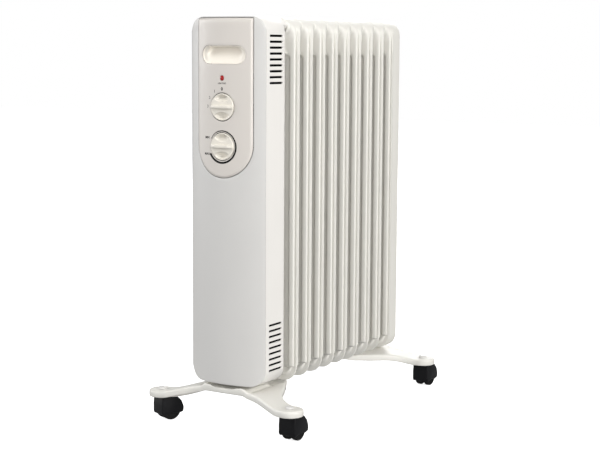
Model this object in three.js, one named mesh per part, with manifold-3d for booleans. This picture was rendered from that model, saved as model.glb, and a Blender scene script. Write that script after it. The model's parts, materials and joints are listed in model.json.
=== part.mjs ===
// Oil filled radiator heater: nine pressed fins on two headers, a bow-fronted
// control housing, two curved feet and four swivelling twin-wheel castors.
// Millimetres, +Z up, control panel towards -Y, fins running towards +Y.
import * as THREE from 'three';
import { mergeVertices } from 'three/addons/utils/BufferGeometryUtils.js';
import Module from 'manifold-3d';

const wasm = await Module();
wasm.setup();

// ---- overall layout --------------------------------------------------------
const CENTRE_SHIFT_Y = -222; // moves the layout so that the origin is the bottom centre
const CLEARANCE = 0.3; // air left between pieces that touch on the real heater
const SMALLEST_STEP = 0.02; // details finer than this are dropped

// fins
const FIN_COUNT = 9;
const FIN_PITCH = 40;
const FIRST_FIN_Y = 87.9; // middle plane of the fin next to the housing
const FIN_HALF_WIDTH = 75;
const FIN_BOTTOM = 70;
const FIN_TOP = 664;
const FIN_CORNER = 25;
const LIP_HALF = 3; // half thickness of the welded rim
const FLANGE_HALF = 19.4; // half width of the flange along the top
const COLUMN_FOOT = 21; // the oil columns end this far above the fin's bottom
const HEADER_RADIUS = 26;
const HEADER_BORE = 19;
const LOWER_HEADER_Z = FIN_BOTTOM + 62;
const UPPER_HEADER_Z = FIN_TOP - 62;
const LAST_FIN_Y = FIRST_FIN_Y + (FIN_COUNT - 1) * FIN_PITCH;
const PAN_BACK = LAST_FIN_Y + 26.5; // the end panel is a pan behind the last fin
const PAN_WALL = 2;
const PAN_HOLE = 24.5; // round openings over the two header ends

// housing
const HOUSING_HALF = 71.2;
const HOUSING_DEPTH = 55;
const HOUSING_BOTTOM = 76;
const HOUSING_TOP = 665;
const HOUSING_CORNER = 25;
const CROWN = 16.8; // how far the front bows out at its middle
const WALL = 2.2;
const LEDGE_BACK = 67.8; // a ledge along the top covers the gap to the first fin
const LEDGE_DROP = 22;
const INLAY_THICK = 1.4;
const INLAY_HALF = 52;
const INLAY_CENTRE_Z = 463; // centre of the round lower end

// ventilation slots
const SLOT_COUNT = 9;
const SLOT_STEP = 9.23;
const SLOT_HEIGHT = 3.2;
const SLOT_FROM = 10.6;
const SLOT_TO = 47.2;
const TOP_SLOT_Z = 634.9;
const BOTTOM_SLOT_Z = 101;

// panel features
const RECESS_HALF = 41;
const RECESS_Z = 605;
const RECESS_HEIGHT = 29;
const RECESS_DEPTH = 27;
const LAMP_Z = 568.6;
const LAMP_WIDTH = 7;
const LAMP_HEIGHT = 8;
const KNOB_RADIUS = 21.6;
const KNOB_HOLE = 22.8;
const POWER_KNOB_Z = 523;
const THERMOSTAT_KNOB_Z = 460.5;
const KNOB_FACE = CROWN + 2.2; // the disc's face, measured out from the housing's edge
const KNOB_BACK = 8.5;
const RIDGE_PROUD = 4.5;
const RIDGE_HALF = 4.2;
const SHAFT_RADIUS = 3;
const SCOOP_RADIUS = 14; // the finger hollows above and below the grip
const SCOOP_SQUASH = 0.62;
const SCOOP_DEPTH = 5;
const SCOOP_OFFSET = RIDGE_HALF + 7.6;
const LENS_PROUD = 2.2;

// feet and castors
const PAD_X = 125.3;
const FRONT_PAD_Y = -12;
const REAR_PAD_Y = 445;
const PAD_RADIUS = 22;
const PAD_TOP = 52;
const FOOT_THICK = 11;
const FOOT_TOP = 75; // top of the foot's middle, under the housing
const WHEEL_RADIUS = 17.5;
const WHEEL_WIDTH = 8.8;
const CASTOR_TRAIL = 11;
const HOOD_HALF = 15.4;
const FRONT_LEFT_TURN = -22; // the front left castor rests a little turned
const HOOD_TOP = PAD_TOP - FOOT_THICK - CLEARANCE;

const ARC_RADIUS = (HOUSING_HALF ** 2 + CROWN ** 2) / (2 * CROWN);

// ---- helpers ---------------------------------------------------------------
const group = new THREE.Group();
group.name = 'oil_filled_radiator_heater';

const FINISH = {
  cream_metal: { color: 0xe9e6df, metalness: 0.1, roughness: 0.45 },
  cream_plastic: { color: 0xe4e0d8, metalness: 0.0, roughness: 0.5 },
  inlay: { color: 0xd6d1cb, metalness: 0.1, roughness: 0.25 },
  knob: { color: 0xd8d0c0, metalness: 0.0, roughness: 0.4 },
  black_plastic: { color: 0x151517, metalness: 0.0, roughness: 0.45 },
  black_rubber: { color: 0x111111, metalness: 0.0, roughness: 0.85 },
  steel: { color: 0xa9abad, metalness: 0.9, roughness: 0.35 },
  brass: { color: 0xb08d4a, metalness: 0.9, roughness: 0.35 },
  red_lens: { color: 0xc8371e, metalness: 0.0, roughness: 0.15 },
};

function toSolid(geometry) {
  const bare = new THREE.BufferGeometry();
  bare.setAttribute('position', geometry.getAttribute('position').clone());
  if (geometry.index) bare.setIndex(geometry.index.clone());
  const welded = mergeVertices(bare, 1e-4);
  return new wasm.Manifold(
    new wasm.Mesh({
      numProp: 3,
      vertProperties: new Float32Array(welded.attributes.position.array),
      triVerts: new Uint32Array(welded.index.array),
    }),
  );
}

function toGeometry(solid) {
  const mesh = solid.getMesh();
  const geometry = new THREE.BufferGeometry();
  geometry.setAttribute('position', new THREE.BufferAttribute(new Float32Array(mesh.vertProperties), 3));
  geometry.setIndex(new THREE.BufferAttribute(new Uint32Array(mesh.triVerts), 1));
  return geometry;
}

function add(name, finish, shape) {
  const indexed = shape instanceof THREE.BufferGeometry ? shape : toGeometry(shape.simplify(SMALLEST_STEP));
  const geometry = indexed.index ? indexed.toNonIndexed() : indexed;
  geometry.translate(0, CENTRE_SHIFT_Y, 0);
  geometry.computeVertexNormals();
  const mesh = new THREE.Mesh(geometry, new THREE.MeshStandardMaterial(FINISH[finish]));
  mesh.name = name;
  group.add(mesh);
}

// a box given by its two corners
function box(x0, y0, z0, x1, y1, z1) {
  const geometry = new THREE.BoxGeometry(x1 - x0, y1 - y0, z1 - z0);
  geometry.translate((x0 + x1) / 2, (y0 + y1) / 2, (z0 + z1) / 2);
  return toSolid(geometry);
}

// a cylinder along 'x', 'y' or 'z' between two places on that axis
function rod(axis, radius, from, to, a, b, sides = 20) {
  const geometry = new THREE.CylinderGeometry(radius, radius, to - from, sides);
  const middle = (from + to) / 2;
  if (axis === 'x') {
    geometry.rotateZ(Math.PI / 2);
    geometry.translate(middle, a, b);
  } else if (axis === 'y') {
    geometry.translate(a, middle, b);
  } else {
    geometry.rotateX(Math.PI / 2);
    geometry.translate(a, b, middle);
  }
  return toSolid(geometry);
}

// a flat outline in X and Z, carried along Y
function carryY(shape, from, to, curveSegments = 5) {
  const settings = { depth: to - from, bevelEnabled: false, curveSegments };
  const geometry = new THREE.ExtrudeGeometry(shape, settings);
  geometry.rotateX(Math.PI / 2);
  geometry.translate(0, to, 0);
  return toSolid(geometry);
}

// a flat outline in X and Y, carried up Z
function carryZ(shape, from, to, curveSegments = 8) {
  const settings = { depth: to - from, bevelEnabled: false, curveSegments };
  const geometry = new THREE.ExtrudeGeometry(shape, settings);
  geometry.translate(0, 0, from);
  return toSolid(geometry);
}

// a flat outline in Y and Z, carried along X
function carryX(shape, from, to, curveSegments = 8) {
  const settings = { depth: to - from, bevelEnabled: false, curveSegments };
  const geometry = new THREE.ExtrudeGeometry(shape, settings);
  geometry.applyMatrix4(new THREE.Matrix4().makeBasis(
    new THREE.Vector3(0, 1, 0),
    new THREE.Vector3(0, 0, 1),
    new THREE.Vector3(1, 0, 0),
  ));
  geometry.translate(from, 0, 0);
  return toSolid(geometry);
}

function roundedRect(x0, z0, x1, z1, radius) {
  const shape = new THREE.Shape();
  shape.moveTo(x0 + radius, z0);
  shape.lineTo(x1 - radius, z0);
  shape.absarc(x1 - radius, z0 + radius, radius, -Math.PI / 2, 0, false);
  shape.lineTo(x1, z1 - radius);
  shape.absarc(x1 - radius, z1 - radius, radius, 0, Math.PI / 2, false);
  shape.lineTo(x0 + radius, z1);
  shape.absarc(x0 + radius, z1 - radius, radius, Math.PI / 2, Math.PI, false);
  shape.lineTo(x0, z0 + radius);
  shape.absarc(x0 + radius, z0 + radius, radius, Math.PI, 1.5 * Math.PI, false);
  return shape;
}

function polygon(points) {
  return new THREE.Shape(points.map(([a, b]) => new THREE.Vector2(a, b)));
}

// where the bowed front stands at a given X, moved out by `offset`
function frontY(x, offset = 0) {
  return ARC_RADIUS - CROWN - Math.sqrt((ARC_RADIUS + offset) ** 2 - x ** 2);
}

// the plan of the bowed front between two X places, closed at `back`
function bowPlan(half, offset, back, steps = 12) {
  const points = [];
  for (let i = 0; i <= steps; i += 1) {
    const x = -half + (2 * half * i) / steps;
    points.push([x, frontY(x, offset)]);
  }
  points.push([half, back]);
  points.push([-half, back]);
  return polygon(points);
}

// ---- fins ------------------------------------------------------------------
// The rim's outline as [x, z], inset by `inset`, always with the same number of points.
function finOutline(inset) {
  const points = [];
  const radius = Math.max(FIN_CORNER - inset, 3);
  const cx = FIN_HALF_WIDTH - inset - radius;
  const low = FIN_BOTTOM + inset + radius;
  const high = FIN_TOP - inset - radius;
  const cornerSteps = 2;
  const levels = [FIN_BOTTOM + 37, FIN_BOTTOM + 47, FIN_TOP - 62, FIN_TOP - 42];
  function corner(x, z, start) {
    for (let i = 0; i <= cornerSteps; i += 1) {
      const angle = start + (Math.PI / 2) * (i / cornerSteps);
      points.push([x + radius * Math.cos(angle), z + radius * Math.sin(angle)]);
    }
  }
  corner(cx, low, -Math.PI / 2);
  for (const z of levels) points.push([FIN_HALF_WIDTH - inset, z]);
  corner(cx, high, 0);
  corner(-cx, high, Math.PI / 2);
  for (const z of [...levels].reverse()) points.push([-(FIN_HALF_WIDTH - inset), z]);
  corner(-cx, low, Math.PI);
  return points;
}

// Half sections of the pressing from the rim inwards: [inset, half thickness].
const COLUMN_SECTION = [[0, LIP_HALF], [9, 4], [4.2, 6], [5, 8.8], [22, 8], [32, 1.6]];
const TONGUE_SECTION = [[0, LIP_HALF], [5, 4], [7, 6], [11, 7.5], [20, 6.5], [32, 1.6]];
const FLANGE_SECTION = [[0, FLANGE_HALF], [2, FLANGE_HALF], [2.6, 12], [6, 9], [18, 8], [32, 1.6]];

function smooth(from, to, value) {
  const t = Math.min(Math.max((value - from) / (to - from), 0), 1);
  return t * t * (3 - 2 * t);
}

function finSolid() {
  const rim = finOutline(0);
  const count = rim.length;
  const rings = COLUMN_SECTION.length;
  const positions = [];
  const index = [];
  for (const side of [1, -1]) {
    for (let r = 0; r < rings; r += 1) {
      for (let i = 0; i < count; i += 1) {
        const level = rim[i][1];
        const column = smooth(FIN_BOTTOM + COLUMN_FOOT, FIN_BOTTOM + 40, level);
        const flange = smooth(FIN_TOP - 50, FIN_TOP - 10, level);
        const mix = (k) => {
          const body = TONGUE_SECTION[r][k] * (1 - column) + COLUMN_SECTION[r][k] * column;
          return body * (1 - flange) + FLANGE_SECTION[r][k] * flange;
        };
        const [x, z] = finOutline(mix(0))[i];
        positions.push(x, side * mix(1), z);
      }
    }
  }
  const at = (side, ring, i) => side * rings * count + ring * count + (i % count);
  for (let i = 0; i < count; i += 1) {
    for (let r = 0; r < rings - 1; r += 1) {
      index.push(at(0, r, i), at(0, r, i + 1), at(0, r + 1, i + 1));
      index.push(at(0, r, i), at(0, r + 1, i + 1), at(0, r + 1, i));
      index.push(at(1, r, i), at(1, r + 1, i + 1), at(1, r, i + 1));
      index.push(at(1, r, i), at(1, r + 1, i), at(1, r + 1, i + 1));
    }
    index.push(at(0, 0, i), at(1, 0, i + 1), at(0, 0, i + 1));
    index.push(at(0, 0, i), at(1, 0, i), at(1, 0, i + 1));
  }
  // the flat web between the columns, laid in strips from one side to the other
  for (let i = 0; i < count / 2 - 1; i += 1) {
    const far = count - 1 - i;
    const quad = [i, i + 1, far - 1, far];
    const [a, b, c, d] = quad.map((k) => at(0, rings - 1, k));
    index.push(a, b, c, a, c, d);
    const [e, f, g, h] = quad.map((k) => at(1, rings - 1, k));
    index.push(e, g, f, e, h, g);
  }
  const geometry = new THREE.BufferGeometry();
  geometry.setAttribute('position', new THREE.Float32BufferAttribute(positions, 3));
  // the sections are laid with +Y outwards; turn every face to look outwards
  const flipped = [];
  for (let i = 0; i < index.length; i += 3) flipped.push(index[i], index[i + 2], index[i + 1]);
  geometry.setIndex(flipped);
  return toSolid(geometry);
}

const headerHalf = (FIN_PITCH - CLEARANCE) / 2;
const plainFin = finSolid()
  .add(rod('y', HEADER_RADIUS, -headerHalf, headerHalf, 0, LOWER_HEADER_Z, 16))
  .add(rod('y', HEADER_RADIUS, -headerHalf, headerHalf, 0, UPPER_HEADER_Z, 16))
  .subtract(rod('y', HEADER_BORE, -FIN_PITCH, FIN_PITCH, 0, LOWER_HEADER_Z, 12));
// the fin's outline moved inwards, for the end panel
function finRect(inset) {
  const half = FIN_HALF_WIDTH - inset;
  return roundedRect(-half, FIN_BOTTOM + inset, half, FIN_TOP - inset, FIN_CORNER - inset);
}

// the rear half of the last fin stands inside the end panel
const lastFinSpace = carryY(finRect(PAN_WALL + CLEARANCE), LAST_FIN_Y, PAN_BACK)
  .add(box(-FIN_HALF_WIDTH - 1, 0, 0, FIN_HALF_WIDTH + 1, LAST_FIN_Y + LIP_HALF, FIN_TOP + 1));
for (let k = 0; k < FIN_COUNT; k += 1) {
  const fin = plainFin.translate(0, FIRST_FIN_Y + k * FIN_PITCH, 0);
  add(`fin_${k + 1}`, 'cream_metal', k === FIN_COUNT - 1 ? fin.intersect(lastFinSpace) : fin);
}
const panFront = LAST_FIN_Y + LIP_HALF + CLEARANCE;
let endPanel = carryY(finRect(0), panFront, PAN_BACK)
  .subtract(carryY(finRect(PAN_WALL), panFront - 1, PAN_BACK - PAN_WALL));
for (const level of [LOWER_HEADER_Z, UPPER_HEADER_Z]) {
  endPanel = endPanel.subtract(rod('y', PAN_HOLE, PAN_BACK - PAN_WALL - 1, PAN_BACK + 1, 0, level, 24));
}
add('rear_end_panel', 'cream_metal', endPanel);
const lastFinBack = FIRST_FIN_Y + (FIN_COUNT - 1) * FIN_PITCH + headerHalf;
const firstFinFront = FIRST_FIN_Y - headerHalf;

// ---- end plugs and heating element ------------------------------------------
add('lower_header_plug', 'steel', rod('y', HEADER_RADIUS - 2, lastFinBack + CLEARANCE, lastFinBack + 3, 0,
  LOWER_HEADER_Z).add(rod('y', HEADER_BORE - 1.2, lastFinBack - 8, lastFinBack + 1, 0, LOWER_HEADER_Z, 12)));
add('oil_fill_plug', 'brass', rod('y', 11, lastFinBack + CLEARANCE, lastFinBack + 3, 0, UPPER_HEADER_Z, 18)
  .add(rod('y', 7.5, lastFinBack + 2, lastFinBack + 9, 0, UPPER_HEADER_Z, 6)));

const ELEMENT_HALF = 8; // half the distance between the hairpin's two legs
const ELEMENT_RADIUS = 4;
const elementEnd = lastFinBack - 60;
const elementStart = HOUSING_DEPTH - 16;
const bendPoints = [];
for (let i = 0; i <= 6; i += 1) {
  const angle = Math.PI - (Math.PI * i) / 6;
  bendPoints.push([ELEMENT_HALF * Math.cos(angle), elementEnd + ELEMENT_HALF * Math.sin(angle)]);
}

// Sweeps a round bar along a path that lies in a plane with the given normal.
function sweep(points, radius, normal, sides = 8) {
  const positions = [];
  const index = [];
  const last = points.length - 1;
  points.forEach((point, i) => {
    const before = points[Math.max(i - 1, 0)];
    const after = points[Math.min(i + 1, last)];
    const along = after.clone().sub(before).normalize();
    const across = new THREE.Vector3().crossVectors(along, normal).normalize();
    for (let s = 0; s < sides; s += 1) {
      const angle = (2 * Math.PI * s) / sides;
      const offset = across.clone().multiplyScalar(radius * Math.cos(angle))
        .add(normal.clone().multiplyScalar(radius * Math.sin(angle)));
      positions.push(point.x + offset.x, point.y + offset.y, point.z + offset.z);
    }
  });
  for (let i = 0; i < last; i += 1) {
    for (let s = 0; s < sides; s += 1) {
      const next = (s + 1) % sides;
      const a = i * sides + s;
      const b = i * sides + next;
      index.push(a, b + sides, b, a, a + sides, b + sides);
    }
  }
  for (let s = 1; s < sides - 1; s += 1) {
    index.push(0, s, s + 1);
    index.push(last * sides, last * sides + s + 1, last * sides + s);
  }
  const geometry = new THREE.BufferGeometry();
  geometry.setAttribute('position', new THREE.Float32BufferAttribute(positions, 3));
  geometry.setIndex(index);
  let solid = toSolid(geometry);
  if (solid.volume() < 0) {
    for (let i = 0; i < index.length; i += 3) [index[i + 1], index[i + 2]] = [index[i + 2], index[i + 1]];
    geometry.setIndex(index);
    solid = toSolid(geometry);
  }
  return solid;
}

const elementPoints = [
  new THREE.Vector3(-ELEMENT_HALF, elementStart, LOWER_HEADER_Z),
  ...bendPoints.map(([x, y]) => new THREE.Vector3(x, y, LOWER_HEADER_Z)),
  new THREE.Vector3(ELEMENT_HALF, elementStart, LOWER_HEADER_Z),
];
const elementFlange = rod('y', HEADER_RADIUS + 2, HOUSING_DEPTH + CLEARANCE, firstFinFront - CLEARANCE, 0,
  LOWER_HEADER_Z);
add('heating_element', 'steel', elementFlange
  .add(rod('y', 20, HOUSING_DEPTH - 8, HOUSING_DEPTH + 2, 0, LOWER_HEADER_Z))
  .add(sweep(elementPoints, ELEMENT_RADIUS, new THREE.Vector3(0, 0, 1))));
add('upper_header_spacer', 'steel', rod('y', HEADER_RADIUS - 4, HOUSING_DEPTH + CLEARANCE,
  firstFinFront - CLEARANCE, 0, UPPER_HEADER_Z));

// ---- control housing -------------------------------------------------------
const shellOutline = roundedRect(-HOUSING_HALF, HOUSING_BOTTOM, HOUSING_HALF, HOUSING_TOP, HOUSING_CORNER);
const innerOutline = roundedRect(
  -HOUSING_HALF + WALL,
  HOUSING_BOTTOM + WALL,
  HOUSING_HALF - WALL,
  HOUSING_TOP - WALL,
  HOUSING_CORNER - WALL,
);

const topLedge = carryY(shellOutline, HOUSING_DEPTH - 1, LEDGE_BACK)
  .intersect(box(-HOUSING_HALF, 0, HOUSING_TOP - LEDGE_DROP, HOUSING_HALF, LEDGE_BACK, HOUSING_TOP));
let shell = carryY(shellOutline, CLEARANCE, HOUSING_DEPTH)
  .subtract(carryY(innerOutline, -1, HOUSING_DEPTH - WALL))
  .add(topLedge)
  .subtract(rod('y', 20.5, HOUSING_DEPTH - 4, HOUSING_DEPTH + 1, 0, LOWER_HEADER_Z));
const slotLevels = [];
for (let i = 0; i < SLOT_COUNT; i += 1) {
  slotLevels.push(TOP_SLOT_Z - i * SLOT_STEP);
  slotLevels.push(BOTTOM_SLOT_Z + i * SLOT_STEP);
}
for (const level of slotLevels) {
  shell = shell.subtract(box(
    -HOUSING_HALF - 1,
    SLOT_FROM,
    level - SLOT_HEIGHT / 2,
    HOUSING_HALF + 1,
    SLOT_TO,
    level + SLOT_HEIGHT / 2,
  ));
}
const GLAND_Z = 214;
const GLAND_Y = 30;
const GLAND_RADIUS = 8;
const glandHole = rod('x', GLAND_RADIUS + CLEARANCE, -HOUSING_HALF - 1, -HOUSING_HALF + 4, GLAND_Y, GLAND_Z);
shell = shell.subtract(glandHole);
add('housing_shell', 'cream_metal', shell);

// a straight-sided slot with round ends, `grow` larger all round
function stadium(grow) {
  const half = RECESS_HALF + grow;
  const high = RECESS_HEIGHT / 2 + grow;
  return roundedRect(-half, RECESS_Z - high, half, RECESS_Z + high, high - 0.01);
}

const panelCuts = [
  carryY(stadium(CLEARANCE), -CROWN - 9, 5),
  rod('y', KNOB_HOLE, -CROWN - 9, 5, 0, POWER_KNOB_Z, 20),
  rod('y', KNOB_HOLE, -CROWN - 9, 5, 0, THERMOSTAT_KNOB_Z, 20),
  carryY(roundedRect(
    -LAMP_WIDTH / 2 - CLEARANCE,
    LAMP_Z - LAMP_HEIGHT / 2 - CLEARANCE,
    LAMP_WIDTH / 2 + CLEARANCE,
    LAMP_Z + LAMP_HEIGHT / 2 + CLEARANCE,
    2,
  ), -CROWN - 9, 5, 3),
];
function cutPanel(solid) {
  return panelCuts.reduce((rest, cut) => rest.subtract(cut), solid);
}

const coverOuter = carryZ(bowPlan(HOUSING_HALF, 0, 0), HOUSING_BOTTOM, HOUSING_TOP)
  .intersect(carryY(shellOutline, -CROWN - 2, 0));
const coverInner = carryZ(bowPlan(HOUSING_HALF - WALL, -WALL, 4), HOUSING_BOTTOM, HOUSING_TOP)
  .intersect(carryY(innerOutline, -CROWN - 2, 4));
add('front_cover', 'cream_plastic', cutPanel(coverOuter.subtract(coverInner)));

const inlayShape = new THREE.Shape();
inlayShape.moveTo(-INLAY_HALF, INLAY_CENTRE_Z);
inlayShape.absarc(0, INLAY_CENTRE_Z, INLAY_HALF, Math.PI, 2 * Math.PI, false);
inlayShape.lineTo(INLAY_HALF, HOUSING_TOP - 12);
inlayShape.lineTo(INLAY_HALF - 12, HOUSING_TOP - 3);
inlayShape.lineTo(-INLAY_HALF + 12, HOUSING_TOP - 3);
inlayShape.lineTo(-INLAY_HALF, HOUSING_TOP - 12);
const inlaySheet = carryZ(bowPlan(INLAY_HALF + 4, INLAY_THICK + CLEARANCE, 0), HOUSING_BOTTOM, HOUSING_TOP)
  .subtract(carryZ(bowPlan(INLAY_HALF + 8, CLEARANCE, 2), HOUSING_BOTTOM - 2, HOUSING_TOP + 2))
  .intersect(carryY(inlayShape, -CROWN - 4, 0, 12));
add('panel_inlay', 'inlay', cutPanel(inlaySheet));

const cupSpan = carryY(stadium(0), -CROWN - 2, RECESS_DEPTH - CROWN)
  .intersect(carryZ(bowPlan(HOUSING_HALF, INLAY_THICK, RECESS_DEPTH), HOUSING_BOTTOM, HOUSING_TOP));
add('handle_cup', 'cream_plastic', cupSpan.subtract(
  carryY(stadium(-1.8), -CROWN - 4, RECESS_DEPTH - CROWN - 1.8),
));

// ---- controls --------------------------------------------------------------
const BRACKET_Y = 14;
const BRACKET_THICK = 1.5;
const SWITCH_FRONT = BRACKET_Y + BRACKET_THICK + CLEARANCE;
let bracket = box(-46, BRACKET_Y, 428, 46, BRACKET_Y + BRACKET_THICK, 576);
for (const level of [POWER_KNOB_Z, THERMOSTAT_KNOB_Z]) {
  bracket = bracket.subtract(rod('y', SHAFT_RADIUS + 1, BRACKET_Y - 1, BRACKET_Y + 4, 0, level, 12));
}
bracket = bracket.subtract(box(-6, BRACKET_Y - 1, LAMP_Z - 6, 6, BRACKET_Y + 4, LAMP_Z + 12));
add('control_bracket', 'steel', bracket);

function knob(level) {
  const scoop = (side) => {
    const cutter = new THREE.SphereGeometry(SCOOP_RADIUS, 20, 12);
    cutter.scale(1, 1, SCOOP_SQUASH);
    cutter.translate(0, -KNOB_FACE - SCOOP_RADIUS + SCOOP_DEPTH, level + side * SCOOP_OFFSET);
    return toSolid(cutter);
  };
  const ridge = carryX(polygon([
    [-KNOB_FACE - RIDGE_PROUD, level - RIDGE_HALF + 1.4],
    [-KNOB_FACE - RIDGE_PROUD, level + RIDGE_HALF - 1.4],
    [-KNOB_FACE + 4, level + RIDGE_HALF + 0.6],
    [-KNOB_FACE + 4, level - RIDGE_HALF - 0.6],
  ]), -KNOB_RADIUS, KNOB_RADIUS)
    .intersect(rod('y', KNOB_RADIUS - 0.2, -KNOB_FACE - RIDGE_PROUD - 1, 0, 0, level, 28));
  return rod('y', KNOB_RADIUS, -KNOB_FACE, -KNOB_BACK, 0, level, 28)
    .subtract(scoop(1))
    .subtract(scoop(-1))
    .add(ridge);
}
for (const [name, level] of [['power', POWER_KNOB_Z], ['thermostat', THERMOSTAT_KNOB_Z]]) {
  add(`${name}_knob`, 'knob', knob(level));
  const shaft = rod('y', SHAFT_RADIUS, -KNOB_BACK + CLEARANCE, SWITCH_FRONT - CLEARANCE, 0, level, 12);
  add(`${name}_shaft`, 'steel', shaft);
}
add('power_switch_body', 'black_plastic', box(
  -16,
  SWITCH_FRONT,
  POWER_KNOB_Z - 17,
  16,
  SWITCH_FRONT + 24,
  POWER_KNOB_Z + 17,
));
add('thermostat_body', 'steel', box(
  -14,
  SWITCH_FRONT,
  THERMOSTAT_KNOB_Z - 19,
  14,
  SWITCH_FRONT + 20,
  THERMOSTAT_KNOB_Z + 19,
));
const lampFace = roundedRect(
  -LAMP_WIDTH / 2,
  LAMP_Z - LAMP_HEIGHT / 2,
  LAMP_WIDTH / 2,
  LAMP_Z + LAMP_HEIGHT / 2,
  2,
);
add('power_lamp_lens', 'red_lens', carryY(lampFace, -CROWN - LENS_PROUD, -CROWN + 6, 3));
add('power_lamp_body', 'black_plastic', rod('y', 5, -CROWN + 6 + CLEARANCE, 20, 0, LAMP_Z, 12));

// a bimetal cut-out clipped inside the housing's back wall
const backWall = HOUSING_DEPTH - WALL - CLEARANCE;
add('thermal_cutout', 'black_plastic', rod('y', 9, backWall - 9, backWall, 0, 190, 16)
  .add(box(-14, backWall - 1.5, 186, 14, backWall, 194)));
let terminals = box(-22, backWall - 16, 250, 22, backWall, 266);
for (const x of [-14, 0, 14]) {
  terminals = terminals.subtract(rod('y', 3, backWall - 18, backWall - 8, x, 258, 8));
}
add('terminal_block', 'black_plastic', terminals);
add('cord_gland', 'black_rubber', rod('x', GLAND_RADIUS, -HOUSING_HALF - 4, -HOUSING_HALF + 8, GLAND_Y, GLAND_Z, 18)
  .add(rod('x', GLAND_RADIUS + 3, -HOUSING_HALF - 4, -HOUSING_HALF - CLEARANCE, GLAND_Y, GLAND_Z, 18))
  .subtract(rod('x', 3.6, -HOUSING_HALF - 6, -HOUSING_HALF + 10, GLAND_Y, GLAND_Z, 12)));

// tip-over switch: a hanging weight between two cheeks
const TIP_Z = 330;
const TIP_Y = 26;
const PIVOT_Z = TIP_Z + 4;
const PIVOT_RADIUS = 2.2;
add('tip_switch_body', 'black_plastic', box(-15, TIP_Y - 12, TIP_Z - 10, 15, backWall, TIP_Z + 16)
  .subtract(box(-9, TIP_Y - 13, TIP_Z - 11, 9, TIP_Y + 14, TIP_Z + 11))
  .subtract(rod('x', PIVOT_RADIUS + CLEARANCE, -12.5, 12.5, TIP_Y, PIVOT_Z, 12)));
add('tip_switch_weight', 'steel', rod('x', PIVOT_RADIUS, -12, 12, TIP_Y, PIVOT_Z, 12)
  .add(rod('z', 1.6, TIP_Z - 24, PIVOT_Z - 1, 0, TIP_Y, 8))
  .add(rod('z', 7, TIP_Z - 38, TIP_Z - 22, 0, TIP_Y, 14)));

// ---- feet ------------------------------------------------------------------
// Front view of the foot as a bent strip: [x, top, underside] from the middle outwards.
const FOOT_LINE = [
  [0, FOOT_TOP - 1.2, 61],
  [37, FOOT_TOP - 1.2, 61],
  [45, 68, 57.5],
  [60, 65, 54],
  [80, 60.5, 49.5],
  [100, 55, 44],
  [114, PAD_TOP, PAD_TOP - FOOT_THICK],
  [PAD_X + PAD_RADIUS + 2, PAD_TOP, PAD_TOP - FOOT_THICK],
];
// Plan of the foot's right half: [x, y], y measured from the pad's line into the heater.
const FOOT_FRONT = [[0, -4.6], [40, -4], [62, -4.5], [84, -12], [106, -20]];
const FOOT_BACK = [[106, 27], [94, 34], [84, 45], [75, 60], [67, 78], [56, 98], [34, 132], [0, 132]];

function footSolid(padY, inward) {
  const strip = [];
  const outwards = FOOT_LINE.slice(1);
  const inwards = [...outwards].reverse();
  for (const [x, , under] of inwards) strip.push([-x, under]);
  for (const [x, , under] of FOOT_LINE) strip.push([x, under]);
  for (const [x, top] of inwards) strip.push([x, top]);
  strip.push([0, FOOT_LINE[0][1]]);
  for (const [x, top] of outwards) strip.push([-x, top]);
  const band = carryY(polygon(strip), -60, 520);
  const plan = [];
  const put = (x, y) => plan.push([x, padY + inward * y]);
  for (const [x, y] of FOOT_FRONT) put(x, y);
  const padSteps = 10;
  for (let i = 1; i < padSteps; i += 1) {
    const angle = -Math.PI * 0.62 + Math.PI * 1.2 * (i / padSteps);
    put(PAD_X + PAD_RADIUS * Math.cos(angle), PAD_RADIUS * Math.sin(angle));
  }
  for (const [x, y] of FOOT_BACK) put(x, y);
  const half = [...plan];
  for (const [x, y] of half.slice(1, -1).reverse()) plan.push([-x, y]);
  return band.intersect(carryZ(polygon(inward > 0 ? plan : [...plan].reverse()), 30, 90));
}

const FRONT_BOLT_Y = FIRST_FIN_Y + FIN_PITCH / 2;
const REAR_BOLT_Y = FIRST_FIN_Y + FIN_PITCH * (FIN_COUNT - 1.5);
const BOLT_HALF = HEADER_RADIUS + 3.6;
const BOLT_RADIUS = 2.5;

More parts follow.
